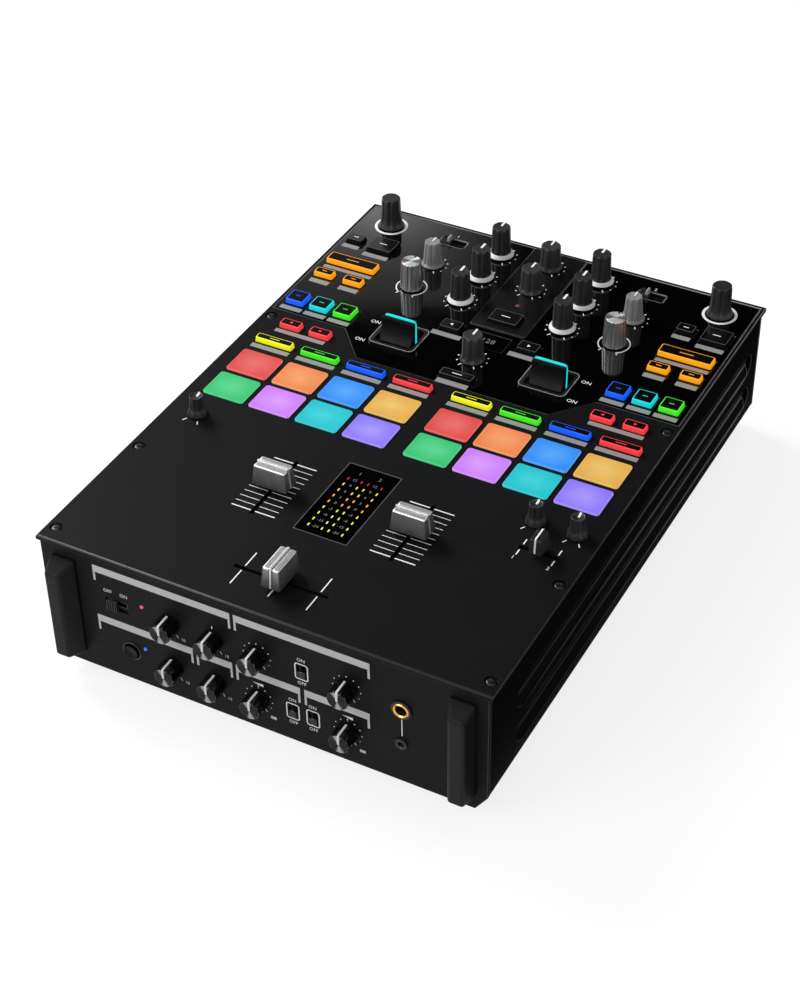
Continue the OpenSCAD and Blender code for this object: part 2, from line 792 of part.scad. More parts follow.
module rca_pair() {
    for (y = [rca_lift, rca_lift - rca_pair_gap]) translate([0, y, 0]) difference() {
        union() {
            translate([0, 0, -face_t - 13]) slab(10, 11, 13);
            translate([0, 0, -face_t - 1]) cylinder(r = rca_collar_r, h = face_t + 1);
            cylinder(r = rca_r, h = rca_length);
        }
        translate([0, 0, -5]) cylinder(r = rca_bore_r, h = 5 + rca_length + cut);
    }
}

module ground_post() {
    translate([0, 0, -face_t - 6]) cylinder(r = 2.4, h = face_t + 6 + 2);
    cylinder(r = 3.6, h = reach);
}

module sockets() {
    color(steel) {
        on_front(phones_at) jack(phones_nose_r, phones_bore_r, phones_depth, 15);
        on_front(mini_phones_at) jack(mini_nose_r, mini_bore_r, mini_depth, 9);
        for (x = booth_x) on_rear([x, rear_row_low])
            jack(phones_nose_r, phones_bore_r, phones_depth, 15);
        on_rear([mic_socket_x, rear_row_low]) jack(phones_nose_r, phones_bore_r, phones_depth, 24);
        for (x = xlr_x) on_rear([x, rear_row_low]) xlr();
        for (x = rca_x) on_rear([x, rear_row_high]) rca_pair();
        for (x = ground_x) on_rear([x, rear_row_high]) ground_post();
        for (x = usb_x) on_rear([x, rear_row_high]) box_socket(usb_cavity, usb_depth, 1);
    }
    color(knob_black) on_rear(inlet_at) inlet();
}

// ---------- knobs ----------

// Knob with its shaft, seated on a face at z = 0 over a panel of the given thickness
module knob(shape, face_gap = knob_gap, reach_down = shaft_end) {
    base_r = shape[0];
    top_r = shape[1];
    h = shape[2];
    skirt_r = shape[3];
    count = shape[4];
    taper = atan((base_r - top_r) / h);
    difference() {
        union() {
            translate([0, 0, face_gap]) cylinder(r1 = base_r, r2 = top_r, h = h - face_gap - 0.4);
            if (skirt_r > 0) translate([0, 0, 1.6])
                cylinder(r1 = skirt_r, r2 = skirt_r - 1, h = 1);
        }
        translate([0, 0, -cut]) cylinder(r = recess_r, h = recess_h + cut);
        if (count > 0) for (i = [0 : count - 1]) rotate((i + 0.5) * 360 / count)
            translate([base_r - 0.7, -0.9, 3.2]) rotate([0, -taper, 0]) cube([3, 1.8, h]);
    }
    translate([0, 0, -reach_down]) cylinder(r = shaft_r, h = reach_down + recess_h + 1);
    translate([-0.6, 1, h - 0.6]) cube([1.2, top_r - 1.4, 0.6]);
}

module top_knob(x, y, shape, tint) {
    on_gloss = y > gloss_front_y || (y > gloss_nose_y && abs(x) < gloss_nose_x);
    face = on_gloss ? gloss_z - top_z : 0;
    on_centre = abs(x) < centre_half_w && y > centre_front_y;
    gap = knob_gap + (on_centre ? centre_t : 0) + face;
    color(tint) on_top(x, y) knob(shape, gap);
}

module front_knob(at) {
    color(knob_black) on_front(at) knob(front_shape, knob_gap, face_t + 6);
}

module browse_knob(s) { top_knob(s * browse_x, knob_rows[0], browse_shape, knob_black); }
module trim_knob(s) { top_knob(s * channel_x, knob_rows[1], trim_shape, knob_grey); }
module filter_knob(s) { top_knob(s * channel_x, knob_rows[2], filter_shape, silver); }
module tone_knob(s, row) { top_knob(s * tone_x, knob_rows[row], tone_shape, knob_black); }
module level_knob(y) { top_knob(0, y, level_shape, knob_black); }
module small_knob(x) { top_knob(x, small_knob_y, small_shape, knob_black); }

// ---------- keys and pads ----------

// Part of a key below the face of the top plate: body, flange and plunger
module key_foot(w, d) {
    translate([0, 0, -plate_t - key_travel - 0.6]) slab(w, d, plate_t + key_travel + 0.6);
    translate([0, 0, -plate_t - 0.5 - flange_t])
        slab(w + 2 * key_gap + 2 * flange_w, d, flange_t);
    translate([0, 0, -plate_t - plunger_end]) slab(3, 3, plunger_end);
}

module lit_key(w, d, tint) {
    color(tint) {
        key_foot(w, d);
        frustum([w, d], [w - 1, d - 0.8], lit_key_h - 0.2);
    }
    color(knob_black) translate([0, 0, lit_key_h - 1]) slab(w - 2.4, d - 2.2, 1);
}

module dark_key(w, d) {
    color(knob_black) {
        key_foot(w, d);
        slab(w, d, dark_key_h);
    }
}

module pad(w, d, tint) {
    color(tint) {
        key_foot(w, d);
        linear_extrude(pad_h) rounded(w, d, 1.6);
    }
}

pad_tints = [red, orange, blue, amber, green, violet, cyan, indigo];
mode_tints = [yellow, green, blue, red];
function deck_tints(s) = concat(
    [orange, orange, orange],
    s < 0 ? [blue, cyan, green] : [green, cyan, blue],
    [red, red]);

module pad_deck(s) {
    places = pads(s);
    for (i = [0:7]) on_top(places[i][0], places[i][1]) pad(pad_w, pad_d, pad_tints[i]);
}

module mode_deck(s) {
    places = mode_keys(s);
    for (i = [0:3]) on_top(places[i][0], places[i][1])
        lit_key(places[i][2], places[i][3], mode_tints[i]);
}

module deck_keys(s) {
    tints = deck_tints(s);
    for (i = [0 : len(lit_keys) - 1]) on_top(s * lit_keys[i][0], lit_keys[i][1])
        lit_key(lit_keys[i][2], lit_keys[i][3], tints[i]);
    for (k = dark_keys(s)) on_top(k[0], k[1]) dark_key(k[2], k[3]);
}

module centre_keys() {
    for (k = mid_keys) on_top(k[0], k[1]) dark_key(k[2], k[3]);
}

// ---------- levers, faders and switches ----------

// Side outline of an effect lever: a blade whose front face sweeps forward into its foot
function lever_front(n) = [for (i = [0:n]) let (t = i / n)
    [-1.8 - 6.4 * pow(1 - t, 2.4), -2 + (lever_h + 1) * t]];

module effect_lever(s) {
    color(gloss_black) on_top(s * lever_x, lever_y) {
        translate([-lever_w / 2, 0, 0]) rotate([90, 0, 90]) linear_extrude(lever_w)
            polygon(concat(
                lever_front(10),
                [[-1, lever_h], [1.6, lever_h], [2.2, lever_h - 0.8],
                 [3.4, lever_pivot_z], [-3.4, lever_pivot_z]]));
        translate([0, 0, lever_pivot_z]) rotate([0, 90, 0])
            cylinder(r = 3.4, h = lever_w, center = true);
        translate([0, 0, lever_pivot_z]) rotate([0, 90, 0])
            cylinder(r = lever_pin_r, h = lever_well[0] + 1.2, center = true);
    }
}

// Fader cap on its stem; the slot runs along X
module fader_cap(base, crown, h, lift) {
    color(silver) {
        translate([0, 0, lift]) frustum(base, crown, h - lift - 0.6);
        translate([-0.5, -crown[1] / 2, h - 1]) cube([1, crown[1], 1]);
    }
    color(steel) translate([0, 0, -stem_end]) slab(stem_w, stem_t, stem_end + lift + 1);
}

module large_fader(at, turn) {
    on_top(at[0], at[1]) rotate(turn)
        fader_cap(large_cap_base, large_cap_crown, fader_cap_h, large_cap_lift);
}

module cue_fader() {
    on_top(cue_fader_at[0], cue_fader_at[1])
        fader_cap(cue_cap_base, cue_cap_crown, cue_cap_h, cue_cap_lift);
}

// Slide lever through a window, at one end of its travel
module slide_lever(w, d, h, depth) {
    slab(w, d, h);
    translate([0, 0, -depth]) slab(stem_w, stem_t, depth + 0.5);
}

module input_switch(s) {
    color(knob_grey) on_top(s * channel_x - input_travel / 2, knob_rows[0])
        slide_lever(6.4, input_window[1] - 1, 4, 8);
}

module mic_switch() {
    color(knob_black) on_front([mic_switch_at[0] - mic_travel / 2, mic_switch_at[1]])
        slide_lever(6.5, mic_window[1] - 1, 2.4, 7);
}

module reverse_switches() {
    color(knob_black) for (p = reverse_at)
        on_front([p[0], p[1] - reverse_travel / 2]) rotate(90)
            slide_lever(3.8, reverse_window[0] - 1, 1, 7);
}

module pairing_button() {
    color(soft_white) on_front(pairing_at) {
        translate([0, 0, -face_t - 2]) cylinder(r = pairing_r, h = face_t + 2 + 1.8);
        translate([0, 0, -face_t - 3.5]) cylinder(r = pairing_r + 1, h = 1);
        translate([0, 0, -face_t - unit_h + 1.5]) cylinder(r = 2, h = unit_h - 1.5);
    }
}

module power_button() {
    color(knob_black) on_rear([power_x, rear_row_low]) {
        translate([0, 0, -face_t - 6]) slab(power_size[0], power_size[1], face_t + 6 + 3);
        translate([0, 0, -face_t - 3]) slab(power_size[0] + 4, power_size[1] + 4, 1.5);
    }
}

// ---------- assembly ----------

bottom_pan();
side_panels();
front_panel();
rear_panel();
top_plate();
upper_panels();
displays_and_lights();
front_handles();
feet();
fasteners();
circuit_boards();
potentiometers();
fader_and_lever_units();
power_supply();
sockets();
browse_knob(-1);  // browse_knob_left
browse_knob(1);  // browse_knob_right
trim_knob(-1);  // trim_knob_left
trim_knob(1);  // trim_knob_right
filter_knob(-1);  // filter_knob_left
filter_knob(1);  // filter_knob_right
tone_knob(-1, 0);  // tone_high_knob_left
tone_knob(-1, 1);  // tone_mid_knob_left
tone_knob(-1, 2);  // tone_low_knob_left
tone_knob(1, 0);  // tone_high_knob_right
tone_knob(1, 1);  // tone_mid_knob_right
tone_knob(1, 2);  // tone_low_knob_right
level_knob(knob_rows[0]);  // master_level_knob
level_knob(knob_rows[1]);  // booth_level_knob
level_knob(depth_y);  // effect_depth_knob
small_knob(sampler_x);  // sampler_level_knob
small_knob(cue_knob_x[0]);  // cue_level_knob
small_knob(cue_knob_x[1]);  // cue_mix_knob
front_knob(mic_level_at);  // mic_level_knob
front_knob(mic_high_at);  // mic_high_knob
front_knob(mic_low_at);  // mic_low_knob
front_knob(crossfader_curve_at);  // crossfader_curve_knob
front_knob(wireless_level_at);  // wireless_level_knob
front_knob(left_curve_at);  // left_curve_knob
front_knob(right_curve_at);  // right_curve_knob
front_knob(fader_curve_at);  // fader_curve_knob
effect_lever(-1);  // effect_lever_left
effect_lever(1);  // effect_lever_right
large_fader([-fader_x, fader_y], 90);  // channel_fader_left
large_fader([fader_x, fader_y], 90);  // channel_fader_right
large_fader([0, crossfader_y], 0);  // crossfader
cue_fader();
input_switch(-1);  // input_switch_left
input_switch(1);  // input_switch_right
mic_switch();
reverse_switches();
pad_deck(-1);  // pads_left
pad_deck(1);  // pads_right
mode_deck(-1);  // pad_mode_keys_left
mode_deck(1);  // pad_mode_keys_right
deck_keys(-1);  // deck_keys_left
deck_keys(1);  // deck_keys_right
centre_keys();
pairing_button();
power_button();
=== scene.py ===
import math

import bmesh
import bpy
import numpy as np
from bpy.props import FloatProperty, FloatVectorProperty, PointerProperty
from mathutils import Matrix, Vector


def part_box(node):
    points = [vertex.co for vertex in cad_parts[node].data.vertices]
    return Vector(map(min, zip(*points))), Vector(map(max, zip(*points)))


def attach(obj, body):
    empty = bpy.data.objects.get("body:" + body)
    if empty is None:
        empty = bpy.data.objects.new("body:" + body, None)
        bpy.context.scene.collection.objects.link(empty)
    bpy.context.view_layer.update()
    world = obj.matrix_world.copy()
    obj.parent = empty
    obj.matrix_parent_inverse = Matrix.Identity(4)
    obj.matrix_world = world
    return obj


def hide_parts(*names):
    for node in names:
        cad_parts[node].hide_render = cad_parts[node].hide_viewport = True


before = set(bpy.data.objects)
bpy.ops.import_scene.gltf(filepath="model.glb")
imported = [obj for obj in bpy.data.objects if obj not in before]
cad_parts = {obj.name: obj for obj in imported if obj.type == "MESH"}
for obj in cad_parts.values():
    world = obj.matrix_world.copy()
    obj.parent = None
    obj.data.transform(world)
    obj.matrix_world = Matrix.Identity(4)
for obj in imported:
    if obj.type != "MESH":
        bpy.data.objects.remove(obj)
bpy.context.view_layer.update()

bl_info = {
    "name": "Two-Channel Mixer Finish",
    "version": (1, 0, 0),
    "blender": (4, 5, 0),
    "location": "View3D > Sidebar > Mixer",
    "description": "Builds the knobs, keys, pads, faders, printing and studio around the mixer's case",
    "category": "Add Mesh",
}

# ---------- places taken from the frame, in millimetres ----------

MM = 0.001
SIDES = (("left", -1), ("right", 1))


def span(node):
    """Lowest and highest corner of a CAD node at rest, in millimetres."""
    low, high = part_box(node)
    return np.array(low) / MM, np.array(high) / MM


TOP = span("top_plate")[1][2]
CENTRE_TOP = span("upper_panels")[1][2]
GLOSS_TOP = CENTRE_TOP - 0.9
FRONT = span("front_panel")[0][1]
REAR = span("rear_panel")[1][1]
CASE_SIDE = span("side_panels")[1][0]

# Layout of the controls, from the centre of the top plate
KNOB_ROWS = (167.6, 139.5, 111.4)
BROWSE_X, CHANNEL_X, TONE_X = 111, 67, 33.75
LEVEL_KNOBS = {"master_level_knob": KNOB_ROWS[0], "booth_level_knob": KNOB_ROWS[1], "effect_depth_knob": 60.1}
SMALL_KNOBS = {"sampler_level_knob": -114, "cue_level_knob": 95.7, "cue_mix_knob": 119.7}
SMALL_KNOB_Y = -58
LEVER_AT, LEVER_WELL = (48.5, 60.5), (27.6, 23.4)
CENTRE_HALF, CENTRE_FRONT = 17.8, 92.2
GLOSS_FRONT, GLOSS_NOSE, GLOSS_NOSE_X = 54, 30.8, 61.5
DECK_X, MODE_Y, MODE_PITCH = 64.5, 21, 30.5
PAD_SIZE, PAD_PITCH, PAD_Y = (26.4, 21.8), (30.23, 25.45), -2.7
FADER_X, FADER_Y, CROSSFADER_Y = 42, -95, -159.4
CUE_FADER = (107.6, -79.5)
METER_AT, METER_SIZE = (0, -88.8), (31.6, 61.8)
DISPLAY_AT, DISPLAY_SIZE = (0, 80.4), (24, 14.5)
LIGHT_COLUMNS, LIGHT_PITCH = (-10.2, -2, 2, 10.2), 5.41
METER_NUMBERS = ("-24", "-15", "-6", "-3", "0", "3", "6", "9", "12")
SWITCH_WINDOW = (16.8, 7.3)
SCREW_X, SCREW_ROWS = 127.5, (45.8, -97.5, -176.3)
SIDE_SCREW_ROWS, SIDE_SCREW_Z = (-101.9, 11.9, 125.3), -27.8

# Lit keys of the right deck: x, y, width, depth; the left deck mirrors them
LIT_KEYS = (
    (110.4, 116.1, 33.5, 9.2), (120.4, 98.5, 13, 6.6), (100.3, 98.5, 13, 6.6),
    (121.1, 67.4, 12.3, 11.7), (104.9, 67.4, 12.3, 11.7), (88.6, 67.4, 12.3, 11.7),
    (110.4, 40.6, 13.6, 6.9), (90.6, 40.6, 13.6, 6.9),
)
# Dark keys of the left deck, and how far to the right those of the right deck lie
DARK_KEYS = ((-122.3, 142.3, 11, 7.7), (-103.2, 142.4, 16.8, 14.5))
DARK_KEY_SHIFT = 222
CENTRE_KEYS = ((0, 104.5, 18.7, 12.5), (-25.2, 83, 13, 8.8), (25.2, 83, 13, 8.8), (0.3, 39.2, 21, 6.8))
LIT_KEY_H, DARK_KEY_H, PAD_H = 3.2, 2.6, 1.2

# Plain bars below the keys of the right deck: x, y, width, depth; the left deck mirrors them
LABELS = (
    (110.4, 108.4, 33, 3.2), (120.4, 91.1, 13, 4.1), (100.3, 91.1, 13, 4.1),
    (121.1, 58, 14.3, 3.7), (104.9, 58, 14.3, 3.7), (88.6, 58, 14.3, 3.7),
    (101.3, 34.3, 33.3, 3.4), (25.2, 75.2, 19.3, 4.2),
)
# The bars below the dark keys of the left deck, and one below a centre key
DARK_LABELS = ((-122.6, 134.8, 11.3, 3.9), (-103.4, 131.4, 17.2, 4))
CENTRE_LABEL = (0, 32.7, 20, 5)
MODE_LABEL_Y, MODE_LABEL = 14.8, (25.2, 3.7)

# Scales and words on the top
SCALE_SIDE, SCALE_HALF, SCALE_LINES = 7.3, 22.4, 11
CROSS_MARKS, CROSS_MARK_SIDE = (-22.4, 0, 22.4), 7.6
CUE_MARK_X, CUE_MARK_Y = 10, 4.6
LEVER_WORD_X, LEVER_WORD_ROWS = 68.4, (48.3, 68.3)
CENTRE_LIGHT_Y = 120.5

# Front panel: distance from the centre line, height from the top face
MIC_SWITCH, PAIRING = (-86, -31), (-79.7, -60.5)
REVERSE_AT = ((26, -30), (19.5, -60.7), (31.5, -60.7))
FRONT_LIGHTS = ((-70.1, -25.3), (-70.9, -55.7))
PHONES, MINI_PHONES = (83.4, -30.5), (83, -54.5)
FRONT_BARS = (
    (-99, -15.1, -6.9, -11.5, -17.3), (-13, 65.8, -6.9, -11.5, -17.3),
    (-99.7, -40.1, -41.8, -46.5, -52.3), (-38, -16, -41.8, -46.5, -52.3),
    (-13.8, 24.5, -41.8, -46.5, -52.3), (27, 65, -41.8, -46.5, -52.3),
)
FRONT_KNOBS = {
    "mic_level_knob": (-53.2, -29.8), "mic_high_knob": (-26.6, -29.8), "mic_low_knob": (-0.3, -29.8),
    "crossfader_curve_knob": (52.2, -29.8), "wireless_level_knob": (-53.4, -60.5),
    "left_curve_knob": (-27, -60.5), "right_curve_knob": (-0.8, -60.5), "fader_curve_knob": (52, -60.5),
}
DOTTED_KNOBS = ("mic_low_knob", "crossfader_curve_knob", "right_curve_knob", "fader_curve_knob")

# Rear panel
REAR_HIGH, REAR_LOW = -26, -58
XLR_X, BOOTH_X, MIC_X, PHONO_X = (-52, -20), (8, 26), -96, (-76, -56, -36, -16)
PHONO_Z = (-20, -34)
GROUND_X, USB_X, INLET_X, POWER_X = (2, 16), (80, 104), 102, 66


def shade(red, green, blue):
    """A display colour, 0 to 255 each, as the linear colour that the shaders take."""
    c = np.array([red, green, blue]) / 255
    return tuple(np.where(c <= 0.04045, c / 12.92, ((c + 0.055) / 1.055) ** 2.4)) + (1.0,)


def scaled(c, factor):
    """A colour made lighter or darker."""
    return tuple(min(1.0, v * factor) for v in c[:3]) + (1.0,)


RED, ORANGE, YELLOW = shade(242, 62, 66), shade(255, 163, 12), shade(236, 236, 22)
GREEN, CYAN, BLUE = shade(66, 232, 34), shade(18, 208, 214), shade(10, 94, 250)
LIME, AMBER, WHITE = shade(226, 238, 88), shade(250, 176, 72), shade(236, 236, 232)
BLACK, DARK_RED = (0.0, 0.0, 0.0, 1.0), shade(176, 26, 44)
METER_TINTS = (LIME, LIME, LIME, LIME, ORANGE, AMBER, shade(246, 206, 70), shade(240, 222, 70), DARK_RED)
PAD_TINTS = (
    shade(222, 76, 73), shade(239, 134, 76), shade(48, 140, 245), shade(228, 173, 76),
    shade(54, 196, 115), shade(202, 126, 251), shade(28, 194, 205), shade(140, 121, 250),
)
MODE_TINTS = (YELLOW, GREEN, BLUE, RED)

# ---------- settings that a user would change ----------


def size(name, millimetres, description):
    """A length setting, given in millimetres and held in metres."""
    return FloatProperty(name=name, description=description, default=millimetres * MM,
                         min=0.0, unit="LENGTH", precision=5)


def colour(name, value, description):
    """A colour setting."""
    return FloatVectorProperty(name=name, description=description, default=value[:3],
                               size=3, min=0.0, max=1.0, subtype="COLOR")


def angle(name, degrees, description):
    """An angle setting, given in degrees."""
    return FloatProperty(name=name, description=description, default=math.radians(degrees), subtype="ANGLE")


class CaseSettings(bpy.types.PropertyGroup):
    """Sizes and colours of the case and its panels."""

    lip_round: size("Front edge", 1.3, "Radius along the front edge of the top plate")
    edge_round: size("Edges", 0.5, "Radius of the other edges of the case")
    paint: colour("Paint", shade(17, 17, 19), "Textured paint of the plate and panels")
    gloss: colour("Gloss", shade(4, 4, 5), "Clear gloss panel")


class KnobSettings(bpy.types.PropertyGroup):
    """Sizes and colours of the knobs."""

    flute_depth: size("Flute depth", 0.75, "Depth of the grooves around a knob")
    pointer_w: size("Pointer width", 1.2, "Width of the white pointer line")
    collar_r: size("Collar radius", 8.1, "Outer radius of the white collar of the tone knobs")
    black: colour("Black rubber", shade(33, 33, 34), "Soft black of most knobs")
    grey: colour("Grey rubber", shade(140, 140, 142), "Grey of the trim knobs")


class KeySettings(bpy.types.PropertyGroup):
    """Sizes of the keys and pads."""

    rim: size("Lit rim", 0.5, "Width of the lit rim around a key's dark cap")
    flare: size("Skirt flare", 0.4, "How far a lit skirt stands out at its foot")
    pad_round: size("Pad edge", 0.5, "Radius around the top of a pad")
    pad_corner: size("Pad corner", 1.6, "Radius of a pad's corners")


class FaderSettings(bpy.types.PropertyGroup):
    """Sizes and colours of the faders and levers."""

    ridge: size("Ridge", 1.3, "Thickness of the plate through the middle of a fader cap")
    edge: size("Cap edge", 0.9, "Radius of a fader cap's edges")
    metal: colour("Cap metal", shade(196, 196, 198), "Satin metal of the fader caps")
    strip: colour("Lever light", shade(20, 222, 218), "Light strip around an effect lever")


class StageSettings(bpy.types.PropertyGroup):
    """The camera and the light."""

    lens: FloatProperty(name="Lens", description="Focal length of the camera in millimetres",
                        default=75.517, min=10, max=400)
    azimuth: angle("Azimuth", 28.595, "Direction the camera looks from")
    elevation: angle("Elevation", 39.154, "Height of the view above the horizon")
    roll: angle("Roll", -1.007, "Turn of the camera about its own axis")
    place: FloatVectorProperty(name="Place", description="Where the camera stands",
                               default=(0.43976, -0.83786, 0.79634), subtype="TRANSLATION", unit="LENGTH")
    ambient: FloatProperty(name="Ambient", description="Level of the light from all around",
                           default=0.42, min=0.0, max=2.0)


class Sizes:
    """Reads the lengths of a settings group in millimetres."""

    def __init__(self, group):
        self.group = group

    def __getattr__(self, name):
        return getattr(self.group, name) / MM


# ---------- outlines and seats ----------

UPWARD = np.eye(3)
FRONTWARD = np.array([[1, 0, 0], [0, 0, 1], [0, -1, 0]], float)
REARWARD = np.array([[-1, 0, 0], [0, 0, 1], [0, 1, 0]], float)
SIDEWARD = np.array([[0, 1, 0], [0, 0, 1], [1, 0, 0]], float)


def seat(origin, axes=UPWARD, turn=0.0):
    """Places local points: turned about their outward axis, laid along axes, then moved to origin."""
    c, s = math.cos(turn), math.sin(turn)
    spin = np.array([[c, s, 0], [-s, c, 0], [0, 0, 1]])
    return lambda points: np.asarray(points, float) @ spin @ axes + np.asarray(origin, float)


def on_top(x, y, level=TOP, turn=0.0):
    """Seat on the top plate, or at another level above it."""
    return seat((x, y, level), UPWARD, turn)


def on_front(x, z):
    """Seat on the front panel; local +Y is up and local +Z comes forward."""
    return seat((x, FRONT, TOP + z), FRONTWARD)


def on_rear(x, z, turn=0.0):
    """Seat on the rear panel."""
    return seat((x, REAR, TOP + z), REARWARD, turn)


def level_at(x, y):
    """Height of the face at a place on top: centre panel, gloss panel or plate."""
    if y > CENTRE_FRONT and abs(x) < CENTRE_HALF:
        return CENTRE_TOP
    nose = GLOSS_NOSE_X + 20 * max(0, (y - GLOSS_NOSE) / (GLOSS_FRONT - GLOSS_NOSE))
    return GLOSS_TOP if y > GLOSS_FRONT or (y > GLOSS_NOSE and abs(x) < nose) else TOP


def on_face(x, y):
    """Seat on the face that lies at a place on top."""
    return on_top(x, y, level_at(x, y))


def heading(degrees):
    """Unit direction at an angle."""
    a = math.radians(degrees)
    return np.array([math.cos(a), math.sin(a)])


def circle(radius, n=40):
    """Round outline: n points at equal angles."""
    a = np.arange(n) * 2 * math.pi / n
    return radius * np.column_stack([np.cos(a), np.sin(a)])


def rounded(width, depth, radius, steps=4):
    """Rectangle with round corners: a quarter circle of radius about each inset corner."""
    radius = min(radius, width / 2 - 1e-3, depth / 2 - 1e-3)
    a = np.linspace(0, math.pi / 2, steps + 1)[None, :] + (np.arange(4) * math.pi / 2)[:, None]
    corners = np.array([[1, 1], [-1, 1], [-1, -1], [1, -1]]) * (np.array([width, depth]) / 2 - radius)
    return (corners[:, None, :] + radius * np.stack([np.cos(a), np.sin(a)], -1)).reshape(-1, 2)


def stacked(levels):
    """Rings from (outline, height) pairs."""
    return np.array([np.column_stack([o, np.full(len(o), z)]) for o, z in levels])


def tapered(base, crown, corner, low, high, edge, shift=(0, 0), crown_shift=None, steps=3):
    """Rings of a block that tapers from base to crown, with round corners; near the top the outline
    shrinks by edge * (1 - cos a) while the height follows edge * sin a, a quarter round."""
    crown_shift = shift if crown_shift is None else crown_shift
    a = np.linspace(0, math.pi / 2, steps + 1)
    heights = [low, *(high - edge + edge * np.sin(a))]
    insets = [0, *(edge * (1 - np.cos(a)))]
    base, crown, shift, crown_shift = (np.array(v, float) for v in (base, crown, shift, crown_shift))
    rings = []
    for inset, height in zip(insets, heights):
        share = (height - low) / (high - low)
        outline = rounded(*(base + (crown - base) * share - 2 * inset), corner)
        rings.append((outline + shift + (crown_shift - shift) * share, height))
    return stacked(rings)


def lathe(profile, n=48):
    """Rings of a turned shape from (radius, height) pairs."""
    return stacked([(circle(r, n), z) for r, z in profile])


def fluted(profile):
    """Rings with eight flutes from (radius, height, groove depth) triples. At angle a the groove share
    is g = clip((1 - cos 8a) / 2 - 0.45, 0) / 0.55, and the radius is r - depth * g."""
    n = 96
    groove = np.clip((1 - np.cos(8 * np.arange(n) * 2 * math.pi / n)) / 2 - 0.45, 0, 1) / 0.55
    return stacked([(circle(1, n) * (r - depth * groove)[:, None], z) for r, z, depth in profile])


def waved(profile, count, n):
    """Rings with soft flutes from (radius, height, groove depth) triples: at angle a the radius is
    r - depth * (1 - cos(count a)) / 2."""
    wave = 0.5 - 0.5 * np.cos(count * np.arange(n) * 2 * math.pi / n)
    return stacked([(circle(1, n) * (r - depth * wave)[:, None], z) for r, z, depth in profile])


def directions(path):
    """Unit directions along a flat path of points."""
    along = np.gradient(path, axis=0)
    return along / np.linalg.norm(along, axis=1)[:, None]


def side_strip(path, width, thickness):
    """Rings of a strip of that width across X which follows a path of (y, z) points, its thickness
    laid inwards along the path's left side."""
    path = np.array(path, float)
    along = directions(path)
    inner = path + np.column_stack([along[:, 1], -along[:, 0]]) * thickness
    half = width / 2
    return np.array([[(-half, *i), (half, *i), (half, *o), (-half, *o)] for o, i in zip(path, inner)])


def shrunk(outline, distance):
    """Outline moved inwards by a distance along the mean of each point's two edge normals."""
    outline = np.asarray(outline, float)
    ahead = np.roll(outline, -1, 0) - outline
    behind = outline - np.roll(outline, 1, 0)
    both = ahead / np.linalg.norm(ahead, axis=1)[:, None] + behind / np.linalg.norm(behind, axis=1)[:, None]
    inward = np.column_stack([-both[:, 1], both[:, 0]])
    length = np.linalg.norm(inward, axis=1)[:, None]
    return outline + inward / length * distance / np.maximum(length / 2, 0.5)


def extruded(outline, half, edge):
    """Rings of an outline in (y, z) carried along X from -half to half with rounded ends: at a
    distance edge * (1 - cos a) from the end the outline is drawn in by edge * (1 - sin a)."""
    a = np.linspace(0, math.pi / 2, 4)
    inset = edge * (1 - np.sin(a))
    x = half - edge + edge * np.cos(a)
    sections = [*zip(-x, inset), *zip(x[::-1], inset[::-1])]
    return np.array([np.column_stack([np.full(len(outline), at), shrunk(outline, i)]) for at, i in sections])


# ---------- pieces as arrays ----------


